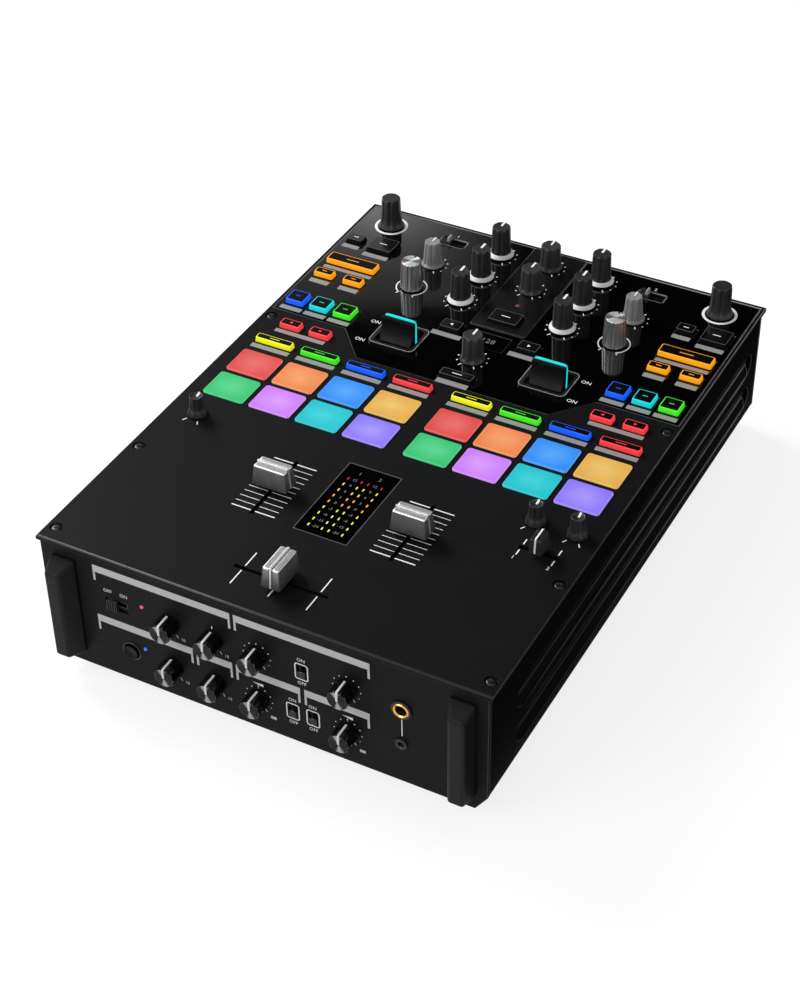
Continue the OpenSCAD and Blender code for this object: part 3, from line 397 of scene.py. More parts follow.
class Shape:
    """Gathers the parts of one piece as arrays: points, face corners, face sizes, a material number
    per face, and a tint and a local place per point. Each part is laid in the present seat."""

    def __init__(self, seating=None):
        self.seating, self.parts, self.count = seating, [], 0

    def at(self, seating):
        """Lays the next parts in another seat."""
        self.seating = seating
        return self

    def add(self, points, corners, sizes, material=0, tint=WHITE, places=None):
        """Adds points and the faces on them."""
        n = len(points)
        self.parts.append((self.seating(points), np.asarray(corners, int) + self.count, sizes,
                           np.full(len(sizes), material), np.broadcast_to(tint, (n, 4)),
                           np.zeros((n, 3)) if places is None else places))
        self.count += n

    def loft(self, rings, material=0, tint=WHITE, wrap=False, places=None):
        """Quads between closed rings of equal length: ring i, point j joins ring i + 1, point j + 1.
        The ends are closed by one face each, or with wrap the last ring joins the first."""
        levels, n = rings.shape[:2]
        i = np.arange(levels if wrap else levels - 1)[:, None]
        j = np.arange(n)[None, :]
        k, up = (j + 1) % n, (i + 1) % levels
        quads = np.stack([i * n + j, i * n + k, up * n + k, up * n + j], -1).reshape(-1, 4)
        ends = [] if wrap else [np.arange(n)[::-1], np.arange(n) + (levels - 1) * n]
        self.add(rings.reshape(-1, 3), np.concatenate([quads.ravel(), *ends]),
                 [4] * len(quads) + [n] * len(ends), material, tint, places)

    def slab(self, outline, low, high, material=0, tint=WHITE):
        """A flat plate with that outline."""
        self.loft(stacked([(outline, low), (outline, high)]), material, tint)

    def frame(self, outer, inner, low, high, material=0):
        """A flat ring between two outlines."""
        self.loft(stacked([(outer, low), (outer, high), (inner, high), (inner, low)]), material, wrap=True)

    def ribbon(self, path, width, low, high, material=0, tint=WHITE):
        """A band of that width along a flat path: at each point the section stands across the
        path's direction, half the width to each side."""
        path = np.array(path, float)
        along = directions(path)
        across = np.column_stack([-along[:, 1], along[:, 0]])
        sides = np.array([-1, 1, 1, -1]) * width / 2
        flat = path[:, None, :] + across[:, None, :] * sides[None, :, None]
        heights = np.broadcast_to(np.array([low, low, high, high], float)[None, :, None], (len(path), 4, 1))
        self.loft(np.concatenate([flat, heights], -1), material, tint)

    def number(self, text, height, x=0, y=0, material=0, thickness=0.06):
        """A plain number or ON or OFF, centred at x, y."""
        points, corners, sizes = glyphs(text)
        placed = points * np.array([height, height, thickness]) + np.array([x, y, 0])
        self.add(placed, corners, sizes, material)

    def stem(self, width, depth, low, high, material):
        """The flat metal stem of a slider, down through its slot."""
        self.slab(rounded(width, depth, 0.2, 1), low, high, material)

    def build(self, name, body, finishes, slot, replaces=(), smooth=38):
        """Writes the arrays into a mesh and lets it ride on its body."""
        points, corners, sizes, numbers, tints, places = (np.concatenate(part) for part in zip(*self.parts))
        mesh = bpy.data.meshes.new(name)
        mesh.vertices.add(self.count)
        mesh.vertices.foreach_set("co", (points * MM).astype(np.float32).ravel())
        mesh.loops.add(len(corners))
        mesh.loops.foreach_set("vertex_index", corners.astype(np.int32))
        mesh.polygons.add(len(sizes))
        mesh.polygons.foreach_set("loop_start", (np.cumsum(sizes) - sizes).astype(np.int32))
        mesh.polygons.foreach_set("material_index", numbers.astype(np.int32))
        mesh.update(calc_edges=True)
        tint = mesh.attributes.new("tint", "FLOAT_COLOR", "POINT")
        tint.data.foreach_set("color", tints.astype(np.float32).ravel())
        place = mesh.attributes.new("place", "FLOAT_VECTOR", "POINT")
        place.data.foreach_set("vector", places.astype(np.float32).ravel())
        return settle(mesh, name, body, finishes, slot, replaces, smooth)

    def build_for(self, node, finishes, slot, smooth=38):
        """Builds the piece that stands for one moving node."""
        return self.build(node + "_finish", node, finishes, slot, [node], smooth)


def settle(mesh, name, body, finishes, slot, replaces=(), smooth=38):
    """Makes an object of a mesh, with its finishes, its body, its slot and what it stands for."""
    if mesh.materials:
        mesh.materials.clear()
    for key in finishes:
        mesh.materials.append(MATERIALS[key])
    mesh.shade_smooth()
    mesh.set_sharp_from_angle(angle=math.radians(smooth))
    obj = bpy.data.objects.new(name, mesh)
    bpy.context.scene.collection.objects.link(obj)
    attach(obj, body)
    if replaces:
        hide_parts(*replaces)
    obj.modifiers.new("flat_faces", "WEIGHTED_NORMAL").keep_sharp = True
    return obj


def values(items, field, width=1, kind=np.int32):
    """One field of all items of a mesh as an array."""
    out = np.zeros(len(items) * width, kind)
    items.foreach_get(field, out)
    return out


def weld(mesh, distance):
    """Gives an edit mesh of a mesh, with points nearer than a distance joined."""
    work = bmesh.new()
    work.from_mesh(mesh)
    bmesh.ops.remove_doubles(work, verts=work.verts, dist=distance)
    return work


GLYPHS = {}


def glyphs(text):
    """Points, face corners and face sizes of a short text, one unit high and one unit thick."""
    if text not in GLYPHS:
        curve = bpy.data.curves.new("glyph", "FONT")
        curve.body, curve.align_x, curve.align_y = text, "CENTER", "CENTER"
        curve.resolution_u, curve.extrude, curve.size = 2, 0.5, 1.4
        holder = bpy.data.objects.new("glyph", curve)
        bpy.context.scene.collection.objects.link(holder)
        mesh = bpy.data.meshes.new_from_object(holder.evaluated_get(bpy.context.evaluated_depsgraph_get()))
        work = weld(mesh, 1e-4)
        work.to_mesh(mesh)
        work.free()
        points = values(mesh.vertices, "co", 3, np.float32).reshape(-1, 3) + np.array([0, 0, 0.5])
        GLYPHS[text] = (points, values(mesh.loops, "vertex_index"), values(mesh.polygons, "loop_total"))
        bpy.data.objects.remove(holder)
        bpy.data.curves.remove(curve)
        bpy.data.meshes.remove(mesh)
    return GLYPHS[text]


def softened(node, slot, finish, width, weight=None, edge=None, segments=3):
    """A welded copy of a CAD node with rounded edges, which may have a finish of their own. weight(low,
    high) gives the share of the width for an edge from its two end points in millimetres."""
    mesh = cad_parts[node].data.copy()
    work = weld(mesh, 1e-6)
    bmesh.ops.dissolve_limit(work, angle_limit=math.radians(0.5), verts=work.verts, edges=work.edges)
    layer = work.edges.layers.float.new("bevel_weight_edge")
    for e in work.edges:
        if e.is_manifold and e.calc_face_angle() > math.radians(25):
            ends = np.array([v.co for v in e.verts]) / MM
            e[layer] = weight(ends.min(0), ends.max(0)) if weight else 1.0
    work.to_mesh(mesh)
    work.free()
    obj = settle(mesh, node + "_finish", "case", [finish, edge or finish], slot, [node])
    bevel = obj.modifiers.new("round_edges", "BEVEL")
    # The rounded edges take the second finish, which paints a highlight on them.
    bevel.material = 1
    bevel.width, bevel.segments = width * MM, segments
    bevel.limit_method, bevel.use_clamp_overlap = "WEIGHT", False
    obj.modifiers.move(1, 0)
    mesh.shade_smooth()
    return obj


# ---------- finishes ----------

MATERIALS = {}
SOCKETS = {
    "base": "Base Color", "rough": "Roughness", "metal": "Metallic", "sheen": "Sheen Weight",
    "glow": "Emission Color", "glow_level": "Emission Strength", "specular": "Specular IOR Level",
    "anisotropy": "Anisotropic", "bump": "Normal", "tangent": "Tangent",
}


class Nodes:
    """A node tree under construction."""

    def __init__(self, tree):
        self.tree = tree

    def feed(self, socket, value):
        """Links an output to the socket, or sets the socket's own value."""
        if isinstance(value, bpy.types.NodeSocket):
            self.tree.links.new(value, socket)
        else:
            socket.default_value = value

    def outputs(self, kind, inputs, **settings):
        """Adds a node, feeds its inputs by name or number and gives its outputs."""
        n = self.tree.nodes.new("ShaderNode" + kind)
        for key, value in settings.items():
            setattr(n, key, value)
        for key, value in inputs.items():
            self.feed(n.inputs[key], value)
        return n.outputs

    def node(self, kind, inputs, output=0, **settings):
        """Adds a node and gives one of its outputs."""
        return self.outputs(kind, inputs, **settings)[output]

    def calc(self, operation, a, b=0.0):
        """One step of arithmetic."""
        return self.node("Math", {0: a, 1: b}, operation=operation)

    def most(self, first, *others):
        """The largest of several values."""
        for other in others:
            first = self.calc("MAXIMUM", first, other)
        return first

    def seen(self):
        """1 for rays from the camera and for mirrored and refracted rays, 0 for the others."""
        rays = self.outputs("LightPath", {})
        return self.most(*(rays[f"Is {kind} Ray"] for kind in ("Camera", "Glossy", "Transmission")))


class Finish(Nodes):
    """A material under construction: its shader and the nodes that feed it."""

    def __init__(self, name, **settings):
        self.material = bpy.data.materials.new(name)
        self.material.use_nodes = True
        super().__init__(self.material.node_tree)
        self.shader = self.tree.nodes["Principled BSDF"]
        self.set(**settings)

    def set(self, **settings):
        """Sets the shader's sockets to numbers, colours or nodes' outputs, and gives the material."""
        for key, value in settings.items():
            self.feed(self.shader.inputs[SOCKETS[key]], value)
        return self.material

    def vector(self, operation, a, b=(0, 0, 0), output="Vector"):
        """One step of vector arithmetic."""
        return self.node("VectorMath", {0: a, 1: b}, output, operation=operation)

    def where(self, stretch=(1, 1, 1)):
        """Object coordinates, stretched."""
        return self.vector("MULTIPLY", self.node("TexCoord", {}, "Object"), stretch)

    def apart(self, value):
        """The three parts of a vector, one output each."""
        return self.outputs("SeparateXYZ", {0: value})

    def millimetres(self):
        """The three object coordinates in millimetres, one output each."""
        return self.apart(self.where((1000, 1000, 1000)))

    def noise(self, scale, detail=2.0, stretch=(1, 1, 1)):
        """Noise in the object's space; scale is in cycles per metre."""
        return self.node("TexNoise", {"Vector": self.where(stretch), "Scale": scale, "Detail": detail})

    def attribute(self, name, output="Color"):
        """A value stored with the mesh."""
        return self.node("Attribute", {}, output, attribute_name=name)

    def spread(self, value, low, high, start=0.3, end=0.7):
        """Carries start..end of a value onto low..high."""
        return self.node("MapRange", {0: value, 1: start, 2: end, 3: low, 4: high})

    def blend(self, factor, a, b):
        """Colour a where the factor is 0, colour b where it is 1."""
        return self.node("Mix", {"Factor": factor, 6: a, 7: b}, 2, data_type="RGBA")

    def mottled(self, value, c, low, high):
        """A colour that follows a value from a darker to a lighter factor."""
        return self.blend(self.spread(value, 0, 1), scaled(c, low), scaled(c, high))

    def relief(self, height, depth_mm):
        """A fine surface relief of that depth."""
        return self.node("Bump", {"Height": height, "Distance": depth_mm * MM, "Strength": 1.0})


def powder(name, c, specular=0.08):
    """Textured paint: fine raised grain, broad faint patches, slightly uneven in shine."""
    f = Finish(name, specular=specular)
    return f.set(base=f.mottled(f.noise(35, 3), c, 0.9, 1.12), rough=f.spread(f.noise(700), 0.46, 0.58),
                 bump=f.relief(f.noise(2600, 3), 0.025))


def painted_edge_highlight(name, front, back, start):
    """The worn shine of rounded edges, brighter from a place along Y to the back of the case."""
    f = Finish(name, specular=0.25)
    share = f.spread(f.millimetres()[1], 0, 1, start, 170)
    return f.set(base=f.blend(share, front, back), rough=f.spread(f.noise(300), 0.34, 0.44))


def gloss(name, c, rough=0.035, specular=0.5):
    """Clear, deep lacquer with a very faint waviness."""
    f = Finish(name, base=c, specular=specular)
    return f.set(rough=f.spread(f.noise(60), rough, rough + 0.05), bump=f.relief(f.noise(22, 1), 0.02))


def satin(name, c, rough=(0.3, 0.4), depth=0.015, specular=0.5):
    """Moulded plastic with a light grain."""
    f = Finish(name, specular=specular)
    return f.set(base=f.mottled(f.noise(45, 3), c, 0.92, 1.08), rough=f.spread(f.noise(300), *rough),
                 bump=f.relief(f.noise(1500), depth))


def rubber(name, c):
    """Soft rubber coating: dull, with a faint bloom."""
    f = Finish(name, sheen=0.05, specular=0.45)
    return f.set(base=f.mottled(f.noise(90, 3), c, 0.86, 1.12), rough=f.spread(f.noise(500), 0.36, 0.46),
                 bump=f.relief(f.noise(1800), 0.015))


def metal(name, c, rough, stretch=(1, 1, 1), depth=0.012, metallic=1.0, scale=900):
    """Metal with fine marks, drawn out where the stretch is uneven."""
    f = Finish(name, metal=metallic)
    marks = f.noise(scale, 3, stretch)
    return f.set(base=f.mottled(marks, c, 0.88, 1.06), rough=f.spread(marks, *rough),
                 bump=f.relief(marks, depth))


def turned_metal(name, c, rough, reflection_way, reflection_colour, start, full):
    """Turned metal: fine rings around an axis, shiny across the rings, from each point's way from the
    axis, which the mesh holds in millimetres. The face takes the wedge's colour as the way from the axis,
    or its opposite, comes near the wedge's way: from a cosine of start, and in full from one of full."""
    f = Finish(name, metal=0.7, anisotropy=0.9)
    way = f.attribute("place", "Vector")
    outward = f.node("VectorTransform", {0: way}, vector_type="VECTOR", convert_from="OBJECT",
                     convert_to="WORLD")
    away = f.vector("LENGTH", way, output="Value")
    rings = f.node("TexNoise", {"W": away, "Scale": 4.0, "Detail": 2.0}, noise_dimensions="1D")
    near = f.vector("DOT_PRODUCT", f.vector("NORMALIZE", way), reflection_way, "Value")
    share = f.spread(f.calc("ABSOLUTE", near), 0, 1, start, full)
    return f.set(base=f.blend(share, f.mottled(rings, c, 0.86, 1.06), reflection_colour),
                 rough=f.spread(rings, *rough), tangent=outward)


def brushed(name):
    """Satin metal of the fader caps, in the tint stored with the mesh."""
    f = Finish(name, metal=0.55, specular=0.5)
    marks = f.noise(700, 3, (1, 1, 0.08))
    inputs = {0: f.attribute("tint"), "Scale": f.spread(marks, 0.86, 1.06)}
    return f.set(base=f.node("VectorMath", inputs, operation="SCALE"), rough=f.spread(marks, 0.3, 0.4))


def lit(name, level=0.85, base_share=0.5):
    """Lit plastic in the tint stored with the mesh; a little brighter and darker in places."""
    f = Finish(name, specular=0.4, rough=0.42)
    tint = f.attribute("tint")
    return f.set(base=f.blend(base_share, BLACK, tint), glow=tint,
                 glow_level=f.spread(f.noise(160), level * 0.93, level * 1.05))


def pad_silicone(name):
    """Translucent pad: its tint is palest in the middle and along the rim, from the local place stored
    with the mesh, which runs from -1 to 1 across a pad."""
    f = Finish(name, rough=0.5, specular=0.2)
    tint, local = f.attribute("tint"), f.attribute("place", "Vector")
    x, y, _ = f.apart(local)
    middle = f.spread(f.vector("LENGTH", local, output="Value"), 1.0, 0.0, 0.0, 1.05)
    rim = f.spread(f.most(f.calc("ABSOLUTE", x), f.calc("ABSOLUTE", y)), 0.0, 0.9, 0.955, 0.98)
    pale_tint = f.node("Gamma", {"Color": tint, "Gamma": 0.62})
    return f.set(base=f.blend(0.3, BLACK, tint), glow=f.blend(f.most(middle, rim), tint, pale_tint),
                 glow_level=f.spread(f.noise(120), 0.7, 0.78), bump=f.relief(f.noise(1500), 0.02))


def ink(name, c):
    """Printed ink, faintly uneven."""
    f = Finish(name, specular=0.3, rough=0.6)
    return f.set(base=f.mottled(f.noise(2200), c, 0.93, 1))


def part_metal(name, marks_scale, light, dark, is_dark, black, rough):
    """Plated metal with fine marks where is_dark(x, y, z, f) gives 0, black plastic where it gives 1."""
    f = Finish(name)
    cover = is_dark(f, *f.millimetres())
    marks = f.noise(marks_scale, 3)
    plating = f.blend(f.spread(marks, 0, 1), dark, light)
    return f.set(base=f.blend(cover, plating, black), metal=f.calc("SUBTRACT", 1.0, cover),
                 rough=f.spread(marks, *rough), bump=f.relief(marks, 0.01))


def unit_cover(f, x, y, z):
    """1 near the top and behind the front panel, where the hidden units are of black plastic."""
    return f.most(f.calc("GREATER_THAN", z, 62.0), f.calc("LESS_THAN", y, FRONT + 22))


def inlet_body(f, x, y, z):
    """1 in the body of the power inlet, low at the right end of the rear panel."""
    low_right = f.calc("MULTIPLY", f.calc("GREATER_THAN", x, INLET_X - 16), f.calc("LESS_THAN", z, 48.0))
    return f.calc("MULTIPLY", low_right, f.calc("GREATER_THAN", y, 0.0))


def circuit(name):
    """Circuit board: green mask with lighter raised tracks and specks of bare pads."""
    f = Finish(name, specular=0.5)
    tracks = f.node("TexVoronoi", {"Vector": f.where(), "Scale": 260.0}, "Distance",
                    feature="DISTANCE_TO_EDGE")
    line = f.spread(tracks, 1.0, 0.0, 0.03, 0.06)
    mask = f.blend(line, shade(12, 74, 42), shade(28, 112, 62))
    speck = f.spread(f.noise(900, 3), 0, 1, 0.62, 0.68)
    return f.set(base=f.blend(speck, mask, shade(176, 150, 84)), rough=f.spread(f.noise(200), 0.28, 0.42),
                 bump=f.relief(line, 0.03))


def make_materials(scene):
    """All the finishes, by name."""
    case, knobs = scene.mixer_case, scene.mixer_knobs
    MATERIALS.update({
        "paint": powder("powder_paint", (*case.paint, 1)),
        # A darker, duller copy of the plate's paint for the side panels: painted shade.
        "side_shaded": powder("side_powder_shaded", shade(9, 9, 10), 0.03),
        "handle": powder("handle_black", shade(17, 17, 19), 0.16),
        "panel": satin("centre_panel_satin", shade(10, 10, 11), (0.26, 0.36), specular=0.4),
        # Rounded edges of the case, and the upper panels' rims, take a lighter colour: painted highlight.
        "edge": painted_edge_highlight("painted_edge_highlight", shade(46, 46, 48), shade(130, 130, 132), -60),
        "rim": painted_edge_highlight("panel_rim_painted_highlight", shade(50, 50, 52), shade(130, 130, 132), 130),
        "gloss": gloss("gloss_lacquer", (*case.gloss, 1)),
        "knob": rubber("knob_rubber", (*knobs.black, 1)),
        "dark_knob": satin("front_knob_black", shade(9, 9, 10), (0.14, 0.2), 0.004),
        "grey_knob": rubber("grey_knob_rubber", (*knobs.grey, 1)),
        "level_knob": rubber("level_knob_rubber", shade(44, 44, 46)),
        "white_collar": satin("white_collar_plastic", shade(250, 250, 248), (0.35, 0.5)),
        "silver_knob": metal("silver_knob_metal", shade(172, 172, 174), (0.29, 0.33), (1, 1, 0.01), 0.0,
                             scale=200),
        # The filter knobs' tops and the front knobs' faces carry a bright painted wedge: painted reflection.
        "silver_top": turned_metal("silver_knob_top", shade(140, 140, 142), (0.34, 0.42),
                                   (-0.42, 0.91, 0), shade(255, 255, 255), 0.3, 0.8),
        "dark_face": turned_metal("front_knob_face", shade(10, 10, 11), (0.3, 0.42),
                                  (0.2, 0, -0.98), shade(160, 160, 160), 0.86, 0.99),
        "cap": brushed("fader_cap_satin"),
        "steel": metal("shaft_steel", shade(172, 172, 174), (0.22, 0.36)),
        "screw": metal("screw_black_zinc", shade(64, 64, 67), (0.26, 0.4), metallic=0.85),
        "lit": lit("lit_key_plastic"),
        "light": lit("indicator_light", 1.0, 0.2),
        "pad": pad_silicone("pad_silicone"),
        "key_cap": satin("key_cap_black", shade(8, 8, 9), depth=0.008, specular=0.12),
        "key_top": gloss("dark_key_gloss", shade(12, 12, 13), 0.16),
        # Grey of the pale line round the dark keys' tops and of the frame round the meter window: painted
        # highlight. The centre light's dome takes it too.
        "key_edge": satin("key_edge_highlight_grey", shade(90, 90, 92), depth=0.01),
        "lever": satin("lever_black", shade(6, 6, 7), (0.34, 0.44), 0.008, 0.12),
        "bezel": gloss("lever_bezel_black", shade(5, 5, 6), 0.2, 0.08),
        "bezel_line": satin("lever_bezel_line", shade(170, 170, 168), depth=0.004),
        "lever_foot": satin("lever_back_grey", shade(96, 98, 100), (0.3, 0.42)),
        "white_ink": ink("white_ink", shade(255, 255, 253)),
        "label_ink": ink("label_ink", shade(150, 150, 148)),
        "grey_ink": ink("grey_ink", shade(216, 216, 214)),
        "digits": ink("display_digits", shade(128, 128, 128)),
        "glass": gloss("smoked_glass", shade(4, 4, 5), 0.05),
        "switch": satin("switch_grey_plastic", shade(158, 158, 160), (0.34, 0.46)),
        "switch_black": satin("switch_black_plastic", shade(34, 34, 36), (0.34, 0.5)),
        "feet": rubber("foot_rubber", shade(24, 24, 25)),
        "gold": metal("gold_plating", shade(228, 182, 96), (0.16, 0.28)),
        "nickel": metal("nickel_plating", shade(186, 186, 182), (0.16, 0.28)),
        # Black of the socket holes, also used as painted shadow round the headphone socket's gold ring.
        "hole": satin("socket_hole_black", shade(6, 6, 6), (0.6, 0.7)),
        "tinted": satin("socket_insulator", shade(230, 230, 226), (0.4, 0.5)),
        "red_plastic": satin("socket_insulator_red", shade(196, 38, 36), (0.4, 0.5)),
        "inside": part_metal("hidden_unit_steel", 240, shade(186, 188, 186), shade(150, 152, 150),
                             unit_cover, shade(12, 12, 13), (0.36, 0.5)),
        "pots": metal("potentiometer_steel", shade(160, 160, 162), (0.3, 0.44), scale=400),
        "supply": metal("supply_steel", shade(150, 152, 156), (0.34, 0.5), scale=300),
        "board": circuit("circuit_board_green"),
        "sockets": part_metal("socket_shell_metal", 500, shade(190, 190, 188), shade(150, 150, 148),
                              inlet_body, shade(22, 22, 24), (0.24, 0.38)),
    })


# ---------- case ----------

PANEL_CORNER = 3.5
# Screws: radius and height of the head, radius and length of the shank
PLATE_SCREW, SIDE_SCREW, REAR_SCREW = (2.75, 1.15, 1.5, 9), (1.8, 1, 1, 2.4), (2.5, 1, 1, 1.9)
REAR_SCREW_Z = (-10, -66)
# CAD nodes that are seen as they are, through slots and sockets
BARE_NODES = {
    "circuit_boards": "board", "potentiometers": "pots", "power_supply": "supply",
    "fader_and_lever_units": "inside", "sockets": "sockets",
}
# Pillars under the boards: height of the foot, length and radius, then the places
PILLARS = {
    (75.1, 9, 2.5): ((-115, -43.2), (115, -43.2), (-60, -43.2), (60, -43.2), (-50, 150), (50, 150)),
    (8.5, 8, 3): ((-100, -90), (-100, 120), (30, -90), (30, 120)),
    (8.5, 5, 3): ((55, 70), (55, 140), (112, 70), (112, 140)),
}


def long_edge(low, high, least):
    """True for an edge that runs along one axis for at least that length."""
    run = high - low
    return run.max() > least and np.sort(run)[1] < 0.5


def plate_weight(s):
    """Share of rounding over the plate's edges: full along its front, small on its sides."""
    def weight(low, high):
        """Share for one edge."""
        if not long_edge(low, high, 30):
            return 0.0
        front = high[1] < FRONT + 1 and low[2] > TOP - 0.1
        return 1.0 if front else s.edge_round / s.lip_round
    return weight


def side_weight(low, high):
    """Share of rounding over the side panels' edges: full on the long ones."""
    return 1.0 if long_edge(low, high, 20) else 0.25


def end_weight(low, high):
    """Share of rounding over the front and rear panels' edges: full on the long ones."""
    return 1.0 if (high - low).max() > 60 else 0.3


def panel_weight(low, high):
    """Share of rounding over the upper panels' edges: full on the two front corners of the centre panel,
    0.35 mm along the top edges and 0.1 mm elsewhere."""
    upright = high[2] - low[2] > 0.5 and np.abs(high - low)[:2].max() < 0.1
    if upright and abs(low[1] - CENTRE_FRONT) < 0.5 and abs(abs(low[0]) - CENTRE_HALF) < 0.5:
        return 1.0
    return (0.35 if high[2] > GLOSS_TOP - 0.1 else 0.1) / PANEL_CORNER


def make_case(scene):
    """Rounded copies of the case's parts in their finishes."""
    s = Sizes(scene.mixer_case)
    # Rounded edges take the lighter edge finish, a painted highlight; the side panels take the darker copy of
    # the paint, painted shade.
    softened("top_plate", "plate_black", "paint", s.lip_round, plate_weight(s), "edge", 4)
    softened("side_panels", "case_black", "side_shaded", 0.8, side_weight, "edge")
    softened("front_panel", "case_black", "paint", 0.5, end_weight, "edge")
    softened("rear_panel", "case_black", "paint", 0.5, end_weight, "edge")
    softened("bottom_pan", "case_black", "paint", 0.3, segments=2)
    softened("front_handles", "handle_black", "handle", 1.6, segments=4)
    panels = softened("upper_panels", "gloss_black", "gloss", PANEL_CORNER, panel_weight, "rim", 4).data
    panels.materials.append(MATERIALS["panel"])
    heights = np.array([p.center.z for p in panels.polygons]) / MM
    panels.polygons.foreach_set("material_index", 2 * (heights > GLOSS_TOP + 0.1).astype(np.int32))
    for node, key in BARE_NODES.items():
        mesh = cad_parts[node].data
        mesh.materials.clear()
        mesh.materials.append(MATERIALS[key])


def cross(length, width, n):
    """Outline of a cross recess: the nearer of the end of an arm and its side, at each angle."""
    a = np.arange(n) * 2 * math.pi / n
    turn = (a + math.pi / 4) % (math.pi / 2) - math.pi / 4
    radius = np.minimum(length / np.cos(turn), width / np.maximum(np.abs(np.sin(turn)), 1e-3))
    return circle(1, n) * radius[:, None]


def screw(shape, head_r, head_h, shank_r, shank_h):
    """Domed head of rings that narrow as they rise, with a cross recess, on its shank."""
    n = 64
    hub = cross(head_r * 0.42, head_r * 0.13, n)
    dome = [(circle(shank_r, n), -shank_h), (circle(shank_r, n), 0)]
    dome += [(circle(head_r * share, n), head_h * rise)
             for share, rise in ((1, 0), (1, 0.45), (0.93, 0.7), (0.8, 0.86), (0.62, 0.96))]
    dome += [(hub * 1.06, head_h), (hub, head_h - 0.05), (hub * 0.55, head_h - 0.7)]
    shape.loft(stacked(dome))


def make_screws(scene):
    """Plate, side and rear screws, and the pillars that carry the boards."""
    shape = Shape()
    for s in (-1, 1):
        for i, y in enumerate(SCREW_ROWS):
            screw(shape.at(on_top(s * SCREW_X, y, TOP - 1.2, 0.2 + i)), *PLATE_SCREW)
        outward = SIDEWARD * np.array([[s], [1], [s]])
        for i, y in enumerate(SIDE_SCREW_ROWS):
            place = (s * (CASE_SIDE - 3.5), y, TOP + SIDE_SCREW_Z)
            screw(shape.at(seat(place, outward, 0.5 + i)), *SIDE_SCREW)
        for z in REAR_SCREW_Z:
            screw(shape.at(on_rear(s * (CASE_SIDE - 5), z, 0.4 + s)), *REAR_SCREW)
    for (foot, length, radius), places in PILLARS.items():
        for x, y in places:
            shape.at(seat((x, y, foot))).slab(circle(radius, 6), 0, length)
    shape.build("case_screws", "case", ["screw"], "screw_steel", ["fasteners"], 40)


def make_feet(scene):
    """Rubber feet: a turned foot with a rounded rim and a ring groove underneath."""
    radius = 11
    profile = ((2.5, 0.9), (3.2, 0.9), (4, 0.25), (6, 0), (9, 0), (9.9, 0.3), (10.3, 1), (radius, 6.6),
               (10.8, 7), (1.9, 7), (1.9, 9.4))
    corner = span("feet")[1] - radius
    shape = Shape()
    for x in (-1, 1):
        for y in (-1, 1):
            shape.at(seat((x * corner[0], y * corner[1], 0))).loft(lathe(profile))
    shape.build("rubber_feet", "case", ["feet"], "rubber_black", ["feet"], 35)


# ---------- printing ----------

INK_FOOT, INK_H = -0.02, 0.05
DISPLAY_DIGITS = ((-3, "1"), (0, "2"), (3, "8"))
WINDOW_MARGIN = 0.9


def bar(shape, width, depth, corner=0.4, material=0):
    """A plain printed bar."""
    shape.slab(rounded(width, depth, corner, 2), INK_FOOT, INK_H, material)


def tick(shape, degrees, start, end, width):
    """A short line outwards from start to end at an angle."""
    way = heading(degrees)
    shape.ribbon(np.linspace(way * start, way * end, 3), width, INK_FOOT, INK_H)


def dots(shape, radius, dot_r=0.56):
    """Printed dots around a knob from 7 o'clock to 5 o'clock, the ends drawn as short ticks."""
    for i in range(11):
        degrees = -60 + i * 30
        if i in (0, 10):
            tick(shape, degrees, 0.86 * radius, 1.12 * radius, 0.6)
        else:
            shape.slab(circle(dot_r, 10) + radius * heading(degrees), INK_FOOT, INK_H)


def end_ticks(shape, radius, length=2.2, width=0.6):
    """Two ticks at 7 and 5 o'clock."""
    for degrees in (-60, 240):
        tick(shape, degrees, radius, radius + length, width)


def outlined(shape, width, depth, line, corner, material=0):
    """A printed rectangle drawn as a line."""
    shape.frame(rounded(width, depth, corner), rounded(width - 2 * line, depth - 2 * line, corner * 0.6),
                INK_FOOT, INK_H, material)


def label_bars():
    """Plain bars below the keys: x, y, width, depth."""
    bars = []
    for s in (-1, 1):
        bars += [(x + DARK_KEY_SHIFT * (s > 0), *rest) for x, *rest in DARK_LABELS]
        bars += [(s * x, *rest) for x, *rest in LABELS]
        bars += [(s * DECK_X + (i - 1.5) * MODE_PITCH, MODE_LABEL_Y, *MODE_LABEL) for i in range(4)]
    return [*bars, CENTRE_LABEL]


